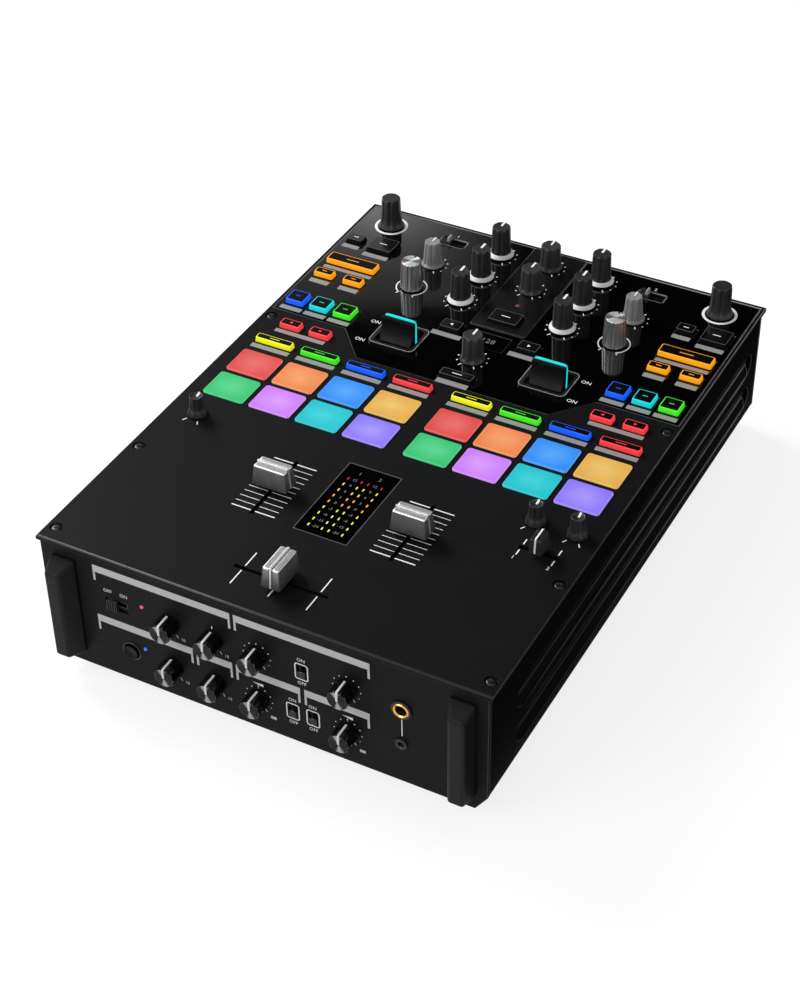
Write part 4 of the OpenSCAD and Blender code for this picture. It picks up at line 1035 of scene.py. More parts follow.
def top_marks(shape):
    """Rings, dots, ticks and bars printed on the top."""
    for x, y, w, d in label_bars():
        bar(shape.at(on_face(x, y)), w, d, material=2)
    for s in (-1, 1):
        shape.at(on_face(s * BROWSE_X, KNOB_ROWS[0]))
        shape.frame(circle(10.6, 64), circle(8.9, 64), INK_FOOT, INK_H)
        arc = [9.4 * heading(degrees) for degrees in np.linspace(-62, 242, 64)]
        shape.at(on_face(s * CHANNEL_X, KNOB_ROWS[2])).ribbon(arc, 0.8, INK_FOOT, INK_H)
        dots(shape.at(on_face(s * CHANNEL_X, KNOB_ROWS[1])), 9.2)
        for y in KNOB_ROWS:
            dots(shape.at(on_face(s * TONE_X, y)), 9.9)
        shape.at(on_face(s * CHANNEL_X, KNOB_ROWS[0])).number("1" if s < 0 else "2", 2.6, 0, 7.4)
        # A grey line round the input switch's window, drawn as ink: painted highlight of the window's rim.
        outlined(shape, *(np.array(SWITCH_WINDOW) + 2 * WINDOW_MARGIN), 0.25, 1.6, 2)
        end_ticks(shape.at(on_face(s * CHANNEL_X, KNOB_ROWS[2])), 9.3)
        for y in LEVER_WORD_ROWS:
            shape.at(on_top(s * LEVER_WORD_X, y, GLOSS_TOP)).number("ON", 2.9)
        step = 2 * SCALE_HALF / (SCALE_LINES - 1)
        for i in range(SCALE_LINES):
            for t in (-1, 1):
                shape.at(on_top(s * FADER_X + t * SCALE_SIDE, FADER_Y + SCALE_HALF - i * step))
                bar(shape, 12, 0.75 if i in (0, SCALE_LINES - 1) else 0.38, 0.1)
    for y in LEVEL_KNOBS.values():
        dots(shape.at(on_face(0, y)), 9.1)
    for x in SMALL_KNOBS.values():
        end_ticks(shape.at(on_top(x, SMALL_KNOB_Y)), 6.9, 2.8)
    for x in CROSS_MARKS:
        for y in (CROSS_MARK_SIDE, -CROSS_MARK_SIDE):
            bar(shape.at(on_top(x, CROSSFADER_Y + y)), 0.7, 11.4, 0.1)
    for t, number in ((-1, "1"), (1, "2")):
        x = CUE_FADER[0] + t * CUE_MARK_X
        for y in (-CUE_MARK_Y, CUE_MARK_Y):
            bar(shape.at(on_top(x, CUE_FADER[1] + y)), 0.75, 4.4, 0.1)
        shape.at(on_top(x, CUE_FADER[1])).number(number, 2.6, -0.6, -9.4)


def front_marks(shape):
    """Section bars, dots, outlines and switch words on the front panel."""
    for left, right, top, bottom, foot in FRONT_BARS:
        bar(shape.at(on_front((left + right) / 2, (top + bottom) / 2)), right - left, top - bottom, 0.2, 1)
        for x in (left + 0.65, right - 0.65):
            bar(shape.at(on_front(x, (bottom + foot) / 2)), 1.3, bottom - foot + 0.4, 0.1, 1)
    for name, (x, z) in FRONT_KNOBS.items():
        shape.at(on_front(x, z))
        if name in DOTTED_KNOBS:
            dots(shape, 8.1, 0.36)
        else:
            end_ticks(shape, 7.6, 2.0, 0.55)
            shape.number("0", 2.0, -7.8, -8.6)
            shape.number("10", 2.0, 7.8, -8.6)
        if name in ("mic_high_knob", "right_curve_knob", "fader_curve_knob"):
            bar(shape.at(on_front(x, z + 8.4)), 0.55, 1.8, 0.1)
    for x in (-0.9, 52):
        shape.at(on_front(x, -50.3)).slab([[-3.2, 0.6], [3.2, -0.9], [3.2, 0.9]], INK_FOOT, INK_H)
        bar(shape.at(on_front(x + 8.3, -71)), 3.5, 1.9, 0.2)
    for x, z in REVERSE_AT:
        outlined(shape.at(on_front(x, z)), 8, 11.2, 0.7, 1.6)
        shape.number("ON", 2.2, 0, 8)
        shape.number("OFF", 2.2, 0, -8)
    shape.at(on_front(*MIC_SWITCH)).number("OFF", 2.2, -5, 8.6)
    shape.number("ON", 2.2, 5, 8.6)
    bar(shape.at(on_front(PHONES[0], -43.3)), 0.6, 11.6, 0.1)


def rear_marks(shape):
    """Plain lines that group the rear sockets."""
    for left, low, right, high in ((-70, -78, -2, -40), (0, -68, 34, -47), (-84, -9, -8, -8.3)):
        shape.at(on_rear((left + right) / 2, (low + high) / 2))
        outlined(shape, right - left, high - low, 0.5, 1.0)


def make_printing(scene):
    """All printing, in one piece for each face of the case."""
    for name, marks, slot in (("print_and_highlight_top", top_marks, "plate_black"),
                              ("print_front", front_marks, "case_black"),
                              ("print_rear", rear_marks, "case_black")):
        shape = Shape()
        marks(shape)
        shape.build(name, "case", ("white_ink", "grey_ink", "label_ink"), slot)


# ---------- displays and lights ----------


def make_displays(scene):
    """Meter window with its light bars, small display, and the indicator lights."""
    glass, light, board, edge, dim = range(5)
    meter, display = on_top(*METER_AT), on_top(*DISPLAY_AT, GLOSS_TOP)
    shape = Shape()
    for seating, outer in ((meter, METER_SIZE), (display, DISPLAY_SIZE)):
        pane = np.array(outer) - 0.3
        shape.at(seating).loft(tapered(pane, pane, 0.6, -1.1, -0.05, 0.15), glass)
    # The grey frame round the meter window is a painted highlight of its rim.
    shape.at(meter).frame(rounded(32.4, 62.6, 0.9), rounded(31.5, 61.7, 0.6), -0.3, 0.08, edge)
    for i, (tint, number) in enumerate(zip(METER_TINTS, METER_NUMBERS)):
        y = (i - 4) * LIGHT_PITCH - 3.1
        for x in LIGHT_COLUMNS:
            for low, high in ((-1.5, 0), (-3, -1.6)):
                shape.slab(rounded(0.8, 2.1, 0.2, 2) + np.array([x, y]), low, high, light, tint)
        for x in (-6.1, 6.1):
            shape.number(number, 2.0, x, y, dim, 0.02)
    for x, number in ((-6.1, "1"), (6.1, "2")):
        shape.number(number, 2.6, x, 24.6, dim, 0.02)
    shape.slab(rounded(34.6, 64.8, 1), -4.6, -3, board)
    shape.at(display)
    for x, number in DISPLAY_DIGITS:
        shape.number(number, 4.2, x, 0, dim, 0.01)
    shape.slab(rounded(20, 10.5, 0.4), -13, -1.2, board)
    crown = CENTRE_TOP - TOP
    dome = ((1.2, -14), (1.2, crown + 0.1), (1.0, crown + 0.2), (0.75, crown + 0.2))
    lens = ((0.8, crown - 1), (0.8, crown + 0.2), (0.6, crown + 0.34), (0.3, crown + 0.38))
    shape.at(on_top(0, CENTRE_LIGHT_Y)).loft(lathe(dome, 24), edge)
    shape.loft(lathe(lens, 24), light, DARK_RED)
    front_dome = ((0.95, -11), (0.95, 0.05), (0.8, 0.1), (0.75, 0.35), (0.4, 0.5))
    for at, tint in zip(FRONT_LIGHTS, (shade(232, 84, 104), shade(54, 112, 236))):
        shape.at(on_front(*at)).loft(lathe(front_dome, 24), light, tint)
    shape.build("meter_and_lights", "case", ("glass", "light", "board", "key_edge", "digits"),
                "display_glass", ["displays_and_lights"])


# ---------- knobs ----------

KNOB_GAP = 0.6


def shaft(shape, low):
    """The control shaft below a knob, in its own metal."""
    shape.loft(lathe(((3, low), (3, 2.5)), 24), 2)


def pointer(shape, start, end, level, width, drop, depth):
    """White pointer over the top of a knob from near its middle to its back edge, then down its side."""
    outline = rounded(width, end - start, 0.2, 2) + np.array([0, (start + end) / 2])
    shape.slab(outline, level - 0.25, level, 1)
    path = ((end - 0.3, level - 0.1), (end + depth * 0.15, level - 0.5), (end + depth, level - drop))
    shape.loft(side_strip(path, width, 0.3), 1)


def browse_knob(shape, s, low):
    """Broad flutes over a smooth foot, and a flat top."""
    d = s.flute_depth * 1.3
    shape.loft(fluted(((7.5, low, 0), (7.9, low + 0.2, 0), (7.8, low + 1.2, 0), (7.2, low + 2.2, 0.2),
                       (6.7, 4.4, d), (6.4, 8, d), (6.1, 18, d), (6.0, 19.6, d * 0.9), (5.8, 20.2, d * 0.5),
                       (5.4, 20.5, 0.1), (4.8, 20.55, 0), (0.4, 20.5, 0))))


def trim_knob(shape, s, low):
    """Eight flutes, a flare at the foot and a white pointer."""
    d = s.flute_depth
    shape.loft(fluted(((6.4, low, 0), (7, low, 0), (7, low + 0.8, 0.2), (6.1, low + 1.8, d), (5.8, 5, d),
                       (5.05, 14.8, d), (4.9, 15.9, d * 0.9), (4.6, 16.4, 0.3), (4.2, 16.5, 0),
                       (3.8, 16.35, 0), (0.4, 16.3, 0))))
    pointer(shape, 0.2, 4.7, 16.7, s.pointer_w * 0.75, 5, 0.35)


def filter_knob(shape, s, low):
    """Sixteen soft polished flutes that narrow upwards to a turned metal top, with a notch at the back."""
    shape.loft(waved(((6.9, low, 0), (7.1, low + 0.2, 0), (7.05, low + 1.2, 0.1), (6.95, low + 4, 0.4),
                      (6.6, 10, 0.45), (6.2, 17.4, 0.4), (6.1, 18, 0.25), (5.85, 18.3, 0.1)), 16, 192), 3)
    rings = lathe(((5.9, 18.2), (5.85, 18.4), (5.7, 18.5), (5.4, 18.45), (0.3, 18.3)), 64)
    shape.loft(rings, 4, places=rings.reshape(-1, 3) * np.array([1, 1, 0]))
    shape.slab(rounded(1.2, 1.8, 0.3, 2) + np.array([0, 5.1]), 17.6, 18.5)


def tone_knob(shape, s, low):
    """Eight flutes over a white conical collar, with a bold pointer."""
    d = s.flute_depth
    shape.loft(fluted(((5.9, low, 0), (6.4, low, 0), (6.4, 3.4, 0), (6.3, 4.2, d), (6.1, 10, d),
                       (5.8, 19.4, d), (5.6, 20.3, d * 0.9), (5.2, 20.85, 0.3), (4.7, 20.95, 0),
                       (4.3, 20.8, 0), (0.4, 20.75, 0))))
    r = s.collar_r
    collar = ((6.1, 1.0), (r - 0.3, 1.0), (r, 1.2), (r - 0.1, 1.7), (6.7, 3.3), (6.1, 3.4))
    shape.loft(lathe(collar, 64), 5, wrap=True)
    pointer(shape, 0.1, 5.5, 21.2, s.pointer_w * 1.15, 9, 0.3)


def level_knob(shape, s, low):
    """Eight flutes, a flare at the foot and a pointer."""
    d = s.flute_depth
    shape.loft(fluted(((7.0, low, 0), (7.5, low, 0), (7.5, low + 0.7, 0.2), (6.7, low + 2, d), (6.5, 6, d),
                       (6.2, 14.9, d), (6.0, 16.2, d * 0.9), (5.6, 16.75, 0.3), (5.2, 16.85, 0),
                       (4.8, 16.7, 0), (0.4, 16.65, 0))))
    pointer(shape, 0.2, 5.9, 17.1, s.pointer_w, 5, 0.3)


def small_knob(shape, s, low):
    """Cupped top with a raised rim over a fluted foot."""
    d = s.flute_depth * 0.8
    shape.loft(fluted(((5.2, low, 0), (5.8, low, 0.5), (5.7, low + 1.6, 0.7), (4.9, low + 3.4, d),
                       (4.2, 5.4, d), (3.95, 11, d * 0.8), (3.9, 12, 0.3), (3.8, 12.7, 0), (3.55, 12.9, 0),
                       (3.2, 12.75, 0), (2.7, 12.1, 0), (0.4, 11.8, 0))))
    path = ((0.4, 12.15), (2.7, 12.4), (3.3, 13.05), (3.75, 12.9), (4.1, 11.9), (4.3, 7))
    shape.loft(side_strip(path, s.pointer_w, 0.35), 1)


def front_knob(shape, s, low):
    """A glossy ribbed cylinder with a flat turned face; the white stripe runs along its upper side and
    down its face to the middle."""
    shape.loft(waved(((5.9, low, 0), (6.2, low + 0.2, 0), (6.25, low + 1.4, 0.45), (6.1, 9.3, 0.5),
                      (6.0, 9.9, 0.35), (5.8, 10.2, 0.1), (5.5, 10.3, 0)), 10, 160))
    rings = lathe(((5.5, 10.2), (5.5, 10.32), (5.3, 10.36), (0.3, 10.3)), 64)
    shape.loft(rings, 3, places=rings.reshape(-1, 3) * np.array([1, 1, 0]) @ FRONTWARD)
    path = ((0, 10.55), (5.3, 10.6), (5.95, 10.3), (6.25, 9.6), (6.4, low + 0.9))
    shape.loft(side_strip(path, s.pointer_w, 0.35), 1)


# Knobs of each side of the top: form, distance from the centre line, row, finish and slot
SIDE_KNOBS = {
    "browse": (browse_knob, BROWSE_X, 0, "knob", "knob_black"),
    "trim": (trim_knob, CHANNEL_X, 1, "grey_knob", "knob_grey"),
    "filter": (filter_knob, CHANNEL_X, 2, "knob", "knob_silver"),
    "tone_high": (tone_knob, TONE_X, 0, "knob", "knob_black"),
    "tone_mid": (tone_knob, TONE_X, 1, "knob", "knob_black"),
    "tone_low": (tone_knob, TONE_X, 2, "knob", "knob_black"),
}


def make_knobs(scene):
    """One piece for each knob, in place of its CAD node."""
    s = Sizes(scene.mixer_knobs)

    def top_knob(name, form, x, y, key, slot):
        """One knob on the top, its foot a little above the face below it."""
        shape = Shape(on_top(x, y))
        form(shape, s, level_at(x, y) - TOP + KNOB_GAP)
        shaft(shape, -9)
        finishes = (key, "white_ink", "steel", "silver_knob", "silver_top", "white_collar")
        shape.build_for(name, finishes, slot, 32)

    for side, k in SIDES:
        for name, (form, x, row, key, slot) in SIDE_KNOBS.items():
            top_knob(f"{name}_knob_{side}", form, k * x, KNOB_ROWS[row], key, slot)
    for name, y in LEVEL_KNOBS.items():
        top_knob(name, level_knob, 0, y, "level_knob", "knob_black")
    for name, x in SMALL_KNOBS.items():
        top_knob(name, small_knob, x, SMALL_KNOB_Y, "knob", "knob_black")
    for name, at in FRONT_KNOBS.items():
        shape = Shape(on_front(*at))
        front_knob(shape, s, KNOB_GAP)
        shaft(shape, -8)
        shape.build_for(name, ("dark_knob", "white_ink", "steel", "dark_face"), "knob_black", 32)


# ---------- pads and keys ----------

KEY_FINISHES = ("key_cap", "lit", "light", "key_edge", "key_top")
MODE_KEY = (24.4, 5.6)


def ring_tints(rings, tint, shares):
    """The tint of each point of some rings, with one share of brightness for each ring."""
    return np.repeat(np.array(tint) * np.array(shares)[:, None], rings.shape[1], axis=0)


def key_foot(shape, w, d, material=0):
    """The part of a key below the plate: body, flange and plunger."""
    shape.slab(rounded(w, d, 0.3, 1), -4.8, 0, material)
    shape.slab(rounded(w + 2, d, 0.3, 1), -4.5, -3.5, material)
    shape.slab(rounded(3, 3, 0.2, 1), -7, -4.8, material)


def make_pads(scene):
    """Eight pads for each deck; each holds its own place from -1 to 1 for the glow."""
    s = Sizes(scene.mixer_keys)
    w, d = PAD_SIZE
    body = tapered(PAD_SIZE, PAD_SIZE, s.pad_corner, 0, PAD_H, s.pad_round)
    inner = rounded(w - 2 * s.pad_round - 0.6, d - 2 * s.pad_round - 0.6, s.pad_corner * 0.8)
    face = stacked([(inner * share, PAD_H - 0.02) for share in (1, 0.75, 0.5, 0.25, 0.02)])
    rings = np.concatenate([body, face])
    local = rings.reshape(-1, 3) / np.array([w / 2, d / 2, 1e6])
    for side, k in SIDES:
        shape = Shape()
        for i, tint in enumerate(PAD_TINTS):
            row, column = divmod(i, 4)
            shape.at(on_top(k * DECK_X + (column - 1.5) * PAD_PITCH[0], PAD_Y - row * PAD_PITCH[1]))
            shape.loft(rings, 0, tint, places=local)
            key_foot(shape, w, d, 1)
        shape.build_for(f"pads_{side}", ("pad", "key_cap"), "pad_light")


def lit_key(shape, w, d, tint, rim, flare):
    """A bright skirt that leans inwards and is brightest along its top, with a dark cap let into it."""
    rings = tapered((w, d), (w - 2 * flare, d - 2 * flare), 1.0, 0, LIT_KEY_H - 0.1, 0.3)
    shape.loft(rings, 1, ring_tints(rings, tint, (0.75, 0.95, 1, 1.08, 1.08)))
    cap = (w - 2 * (flare + rim), d - 2 * (flare + rim))
    shape.loft(tapered(cap, cap, 0.6, LIT_KEY_H - 1, LIT_KEY_H, 0.25))
    key_foot(shape, w, d)


def dark_key(shape, w, d):
    """A black key with a glossy top inside a pale line."""
    shape.loft(tapered((w, d), (w - 0.5, d - 0.5), 0.9, 0, DARK_KEY_H - 0.12, 0.25))
    # The pale line round the top is a painted highlight.
    shape.frame(rounded(w - 0.7, d - 0.7, 0.8), rounded(w - 1.3, d - 1.3, 0.6), DARK_KEY_H - 0.4,
                DARK_KEY_H - 0.05, 3)
    top = (w - 1.4, d - 1.4)
    shape.loft(tapered(top, top, 0.5, 0.5, DARK_KEY_H, 0.2), 4)
    key_foot(shape, w, d)


def dash(shape, level, width, tint=WHITE, depth=0.55):
    """A short plain mark on a key's cap."""
    shape.slab(rounded(width, depth, 0.2, 2), level - 0.1, level + 0.03, 2, tint)


def arrow(shape, level, way, tint=WHITE):
    """A small triangle on a key's cap that points left or right."""
    points = np.array([[1.1 * way, 0], [-0.8 * way, 1.1], [-0.8 * way, -1.1]])[::way]
    shape.slab(points, level - 0.1, level + 0.03, 2, tint)


def make_keys(scene):
    """Deck keys, pad mode keys and the centre keys."""
    s = Sizes(scene.mixer_keys)
    for side, k in SIDES:
        shape = Shape()
        group = (BLUE, CYAN, GREEN)[::-k]
        marks = [dash] * 6 + [arrow] * 2
        for (x, y, w, d), tint, mark, way in zip(LIT_KEYS, (ORANGE, ORANGE, ORANGE, *group, RED, RED), marks,
                                                 (0, 0, 0, 0, 0, 0, k, -k)):
            lit_key(shape.at(on_top(k * x, y)), w, d, tint, s.rim, s.flare)
            mark(shape, LIT_KEY_H, way or w * 0.26, tint)
        for x, y, w, d in DARK_KEYS:
            dark_key(shape.at(on_top(x + DARK_KEY_SHIFT * (k > 0), y)), w, d)
            dash(shape, DARK_KEY_H, w * 0.3)
        shape.build_for(f"deck_keys_{side}", KEY_FINISHES, "key_light")
        shape = Shape()
        for i, tint in enumerate(MODE_TINTS):
            shape.at(on_top(k * DECK_X + (i - 1.5) * MODE_PITCH, MODE_Y))
            lit_key(shape, *MODE_KEY, tint, s.rim * 0.9, s.flare)
            dash(shape, LIT_KEY_H, 6.5, tint, 0.5)
        shape.build_for(f"pad_mode_keys_{side}", KEY_FINISHES, "key_light")
    shape = Shape()
    for (x, y, w, d), way in zip(CENTRE_KEYS, (0, -1, 1, 0)):
        dark_key(shape.at(on_top(x, y)), w, d)
        if way:
            arrow(shape, DARK_KEY_H, way)
        else:
            dash(shape, DARK_KEY_H, w * 0.3)
    shape.build_for("centre_keys", KEY_FINISHES, "key_black")


# ---------- levers, faders, switches ----------

AXLE_Y, LEVER_HALF = -7, 10.5
FADER_LIFT, FADER_H = 3, 15.8
FADER_FOOT, FADER_CROWN = (11.4, 21.5), (9.3, 19)


def make_levers(scene):
    """Effect levers: a blade whose front sweeps forward into its foot, edged by a light strip."""
    t = np.linspace(0, 1, 14)
    front = np.column_stack([-1.8 - 4.2 * (1 - t) ** 2.2, -1.6 + 13.4 * t])
    blade = [*front[::-1], (-2.4, -7), (0.5, -7), (1.1, 11.3), (0.7, 12.2), (-0.6, 12.6)]
    bend = ((9.85, 10.2), (9.4, 11.5), (8, 12.1))
    strip = [(-9.85, -3), (-9.85, 2), *((-x, z) for x, z in bend), (0, 12.1), *bend[::-1], (9.85, 2),
             (9.85, -3)]
    for side, s in SIDES:
        shape = Shape(on_top(s * LEVER_AT[0], LEVER_AT[1]))
        shape.loft(extruded(blade, LEVER_HALF, 0.5))
        shape.at(seat((s * LEVER_AT[0], LEVER_AT[1], TOP), FRONTWARD))
        shape.ribbon(strip, 1.3, -2.3, -1.0, 1, (*scene.mixer_faders.strip, 1))
        shape.slab(rounded(20.6, 15.4, 1.2) + np.array([0, 4.8]), -2.9, -2.3, 2)
        shape.slab(rounded(17.6, 13.4, 0.8) + np.array([0, 4.5]), -2.4, -0.9)
        shape.at(on_top(s * LEVER_AT[0], LEVER_AT[1]))
        shape.loft(extruded(circle(3.4, 24) + np.array([0, AXLE_Y]), LEVER_HALF, 0.3))
        shape.loft(extruded(circle(2, 24) + np.array([0, AXLE_Y]), 14.4, 0.2), 3)
        shape.build_for(f"effect_lever_{side}", ("lever", "light", "lever_foot", "steel"), "lever_black", 35)
    shape = Shape()

    def around(margin, corner):
        """Outline around a lever's well."""
        return rounded(LEVER_WELL[0] + margin, LEVER_WELL[1] + margin, corner, 6)

    section = ((2.9, 4.1, -0.28), (2.9, 4.1, 0.55), (2.4, 3.9, 0.86), (1.2, 3.3, 0.86), (0.4, 3, 0.6),
               (0.3, 2.9, -0.28))
    for side, s in SIDES:
        shape.at(on_top(s * LEVER_AT[0], LEVER_AT[1]))
        shape.loft(stacked([(around(margin, corner), z) for margin, corner, z in section]), wrap=True)
        shape.frame(around(2.0, 3.7), around(1.2, 3.3), 0.8, 0.9, 1)
    shape.build("lever_bezels", "case", ("bezel", "bezel_line"), "unit_black")


def fader_cap(shape, s, cap_metal):
    """A cap in three parts along its travel: two rounded blocks, dark at the foot and brightest along
    the rounded edge of the top, and a thin ridge between them."""
    gap = s.ridge / 2 + 0.25
    (foot_w, foot_d), (crown_w, crown_d) = FADER_FOOT, FADER_CROWN
    low_w, high_w = foot_w / 2 - gap, crown_w / 2 - gap
    # Each block's ring tints paint shade at its foot and a highlight along its top edge.
    for t in (-1, 1):
        rings = tapered((low_w, foot_d), (high_w, crown_d), 0.8, FADER_LIFT, FADER_H - 0.75, s.edge,
                        (t * (gap + low_w / 2), 0), (t * (gap + high_w / 2), 0))
        shape.loft(rings, 0, np.minimum(ring_tints(rings, cap_metal, (0.2, 0.55, 1.8, 1.8, 1.0)), 1.0))
    # A very dark plate in the gap between the blocks: painted shade.
    painted_shade_filler = rounded(2 * gap + 0.3, crown_d - 1, 0.2, 1)
    shape.slab(painted_shade_filler, FADER_LIFT, FADER_H - 2.4, 0, scaled(cap_metal, 0.06))
    # The ridge is painted brighter: painted highlight.
    ridge = tapered((s.ridge, foot_d), (s.ridge, crown_d), 0.3, FADER_LIFT + 0.2, FADER_H, 0.3)
    shape.loft(ridge, 0, scaled(cap_metal, 1.6))


def make_faders(scene):
    """Channel faders, crossfader and cue fader."""
    s = Sizes(scene.mixer_faders)
    places = [(f"channel_fader_{side}", k * FADER_X, FADER_Y, math.pi / 2) for side, k in SIDES]
    for name, x, y, turn in [*places, ("crossfader", 0, CROSSFADER_Y, 0)]:
        shape = Shape(on_top(x, y, TOP, turn))
        fader_cap(shape, s, (*scene.mixer_faders.metal, 1.0))
        shape.stem(4, 1.6, -9, FADER_LIFT + 1, 1)
        shape.build_for(name, ("cap", "steel"), "fader_silver", 40)
    shape = Shape(on_top(*CUE_FADER))
    shape.loft(tapered((7.4, 10.5), (6.4, 9.5), 0.7, 2.5, 11.5, 0.6))
    for x in np.arange(-2.4, 2.5, 0.8):
        wide = 0.46 if abs(x) > 0.1 else 0.6
        shape.loft(tapered((wide, 9.4), (wide, 8.8), 0.1, 10.6, 12.2, 0.2, (x, 0), steps=2))
    path = ((4.7, 12.0), (4.2, 12.4), (-4.2, 12.35), (-4.6, 12.0), (-5.05, 10.4), (-5.45, 3.6))
    shape.loft(side_strip(path, 0.9, 0.4), 1)
    shape.stem(4, 1.6, -9, 3.5, 2)
    shape.build_for("cue_fader", ("knob", "white_ink", "steel"), "switch_black", 40)


def ridges(shape, shifts, base, crown, corner, low, high, edge, material=0):
    """Equal small blocks, one at each shift."""
    for shift in shifts:
        shape.loft(tapered(base, crown, corner, low, high, edge, shift, steps=2), material)


def make_switches(scene):
    """Input, microphone and reverse switches, the pairing button and the power button."""
    for side, s in SIDES:
        shape = Shape(on_top(s * CHANNEL_X - 4, KNOB_ROWS[0]))
        shape.loft(tapered((6.4, 6.3), (5.9, 5.8), 0.4, 0, 1.6, 0.2, steps=2), 2)
        ridges(shape, ((-2.3, 0), (-0.9, 0)), (1, 5.8), (0.6, 5.3), 0.2, 1.3, 2.6, 0.25, 2)
        shape.loft(tapered((2.3, 5.2), (1.2, 4.6), 0.3, 1.3, 4, 0.35, (1.7, 0)))
        shape.stem(4, 1.6, -8, 0.5, 1)
        shape.build_for(f"input_switch_{side}", ("switch", "steel", "switch_black"), "switch_grey")
    shape = Shape(on_front(MIC_SWITCH[0] - 2.5, MIC_SWITCH[1]))
    shape.loft(tapered((6.5, 7), (6, 6.5), 0.5, 0, 1.5, 0.25))
    ridges(shape, [(x, 0) for x in (-2.2, -0.75, 0.75, 2.2)], (0.9, 6.4), (0.6, 6), 0.2, 1.2, 2.4, 0.25)
    shape.stem(4, 1.6, -7, 0.5, 1)
    shape.build_for("mic_switch", ("switch_black", "steel"), "switch_black")
    shape = Shape()
    for x, z in REVERSE_AT:
        shape.at(on_front(x, z - 1.75)).loft(tapered((4.6, 3.8), (4.2, 3.4), 0.5, 0, 0.7, 0.2, steps=2))
        ridges(shape, ((0, -1), (0, 0), (0, 1)), (3.8, 0.5), (3.6, 0.3), 0.1, 0.5, 1, 0.12)
        shape.stem(1.6, 4, -7, 0.5, 1)
    shape.build_for("reverse_switches", ("switch_black", "steel"), "switch_black")
    shape = Shape(on_front(*PAIRING))
    shape.loft(lathe(((2, -9.5), (2, -5.5), (5.6, -5.5), (5.6, -4.5), (4.6, -4.5), (4.6, 1.4), (4.45, 1.7),
                      (4.1, 1.8), (3.7, 1.7), (0.3, 1.35))))
    shape.build_for("pairing_button", ["bezel"], "switch_grey")
    shape = Shape(on_rear(POWER_X, REAR_LOW))
    shape.slab(rounded(13, 8, 0.5), -8, -0.5)
    shape.slab(rounded(17, 12, 0.5), -5, -3.5)
    shape.loft(tapered((13, 8), (12.6, 7.6), 1, -0.5, 3, 0.6))
    shape.build_for("power_button", ["switch_black"], "switch_black")


# ---------- sockets ----------


def turned_ring(shape, outer, inner, low, high, material, edge, nut=False):
    """A turned ring with rounded rims, or a nut: at angle a its radius is then 0.92 of the ring's, divided
    by the cosine of a's distance from the middle of the flat."""
    rings = lathe(((inner, low), (outer, low), (outer, high - edge), (outer - edge, high),
                   (inner + edge, high), (inner, high - edge)))
    if nut:
        n = rings.shape[1]
        a = np.arange(n) * 2 * math.pi / n
        corner = np.cos((a % (math.pi / 3)) - math.pi / 6)
        rings[1:4, :, :2] *= (0.92 / corner)[None, :, None]
    shape.loft(rings, material, wrap=True)


def circle_like(outline, radius):
    """Circle whose points lie at the same angles as an outline's."""
    return outline / np.linalg.norm(outline, axis=1)[:, None] * radius


def make_sockets(scene):
    """Rings, insulators, nuts and plates that finish the sockets' bare shells."""
    gold, nickel, hole, pale, red, black = range(6)
    shape = Shape(on_front(*PHONES))
    # The black ring round the gold ring stands for the shadow round it: painted shadow.
    turned_ring(shape, 5.8, 4.3, 0.3, 1.25, hole, 0.2)
    turned_ring(shape, 4.6, 3.22, 0.3, 1.75, gold, 0.6)
    turned_ring(shape.at(on_front(*MINI_PHONES)), 3.55, 2.7, 0.3, 1.2, hole, 0.15)
    turned_ring(shape, 2.95, 1.72, 0.3, 1.5, black, 0.5)
    turned_ring(shape.at(on_front(*PHONES)), 3.9, 3.28, -4, 0.9, hole, 0.2)
    for x in (*BOOTH_X, MIC_X):
        turned_ring(shape.at(on_rear(x, REAR_LOW)), 7.2, 4.2, -0.2, 1.5, nickel, 0.3, nut=True)
        turned_ring(shape, 4.6, 3.35, 0.5, 2.3, nickel, 0.3)
    for x in PHONO_X:
        for z, insulator in zip(PHONO_Z, (pale, red)):
            turned_ring(shape.at(on_rear(x, z)), 4.7, 4.1, -0.3, 0.5, nickel, 0.1)
            turned_ring(shape, 4.25, 3.5, 1.5, 9.55, nickel, 0.3)
            turned_ring(shape, 4.6, 4.0, 0.1, 1.6, insulator, 0.2)
            turned_ring(shape, 3.6, 1.75, 8.0, 9.52, insulator, 0.1)
    plate = rounded(26.1, 31.1, 2)
    for x in XLR_X:
        turned_ring(shape.at(on_rear(x, REAR_LOW)), 9.7, 8.45, 0.6, 1.6, black, 0.3)
        shape.frame(plate, circle_like(plate, 9.5), 0.4, 1.3, black)
        for along, up in ((-9.6, 12.2), (9.6, -12.2)):
            turned_ring(shape.at(on_rear(x - along, REAR_LOW + up)), 2, 0.3, 1.2, 2.1, nickel, 0.5)
    for x in GROUND_X:
        shape.at(on_rear(x, REAR_HIGH))
        for i in range(8):
            turned_ring(shape, 3.75, 3.3, 2.2 + i, 2.9 + i, nickel, 0.15)
    for x in USB_X:
        shape.at(on_rear(x, REAR_HIGH))
        shape.frame(rounded(13.2, 12.8, 0.8), rounded(8.7, 8.3, 0.6), 0.2, 0.75, nickel)
        shape.slab(rounded(5.4, 2.8, 0.3), -11.5, -0.6, pale)
    shape.at(on_rear(INLET_X, REAR_LOW))
    shape.frame(rounded(30, 22.2, 2.4), rounded(24.5, 16.7, 3.4), -0.2, 1.0, black)
    turned_ring(shape.at(on_front(*PAIRING)), 5.9, 5.0, -0.2, 0.5, black, 0.2)
    shape.build("socket_trims", "case", ("gold", "nickel", "hole", "tinted", "red_plastic", "switch_black"),
                "socket_metal")


# ---------- stage ----------

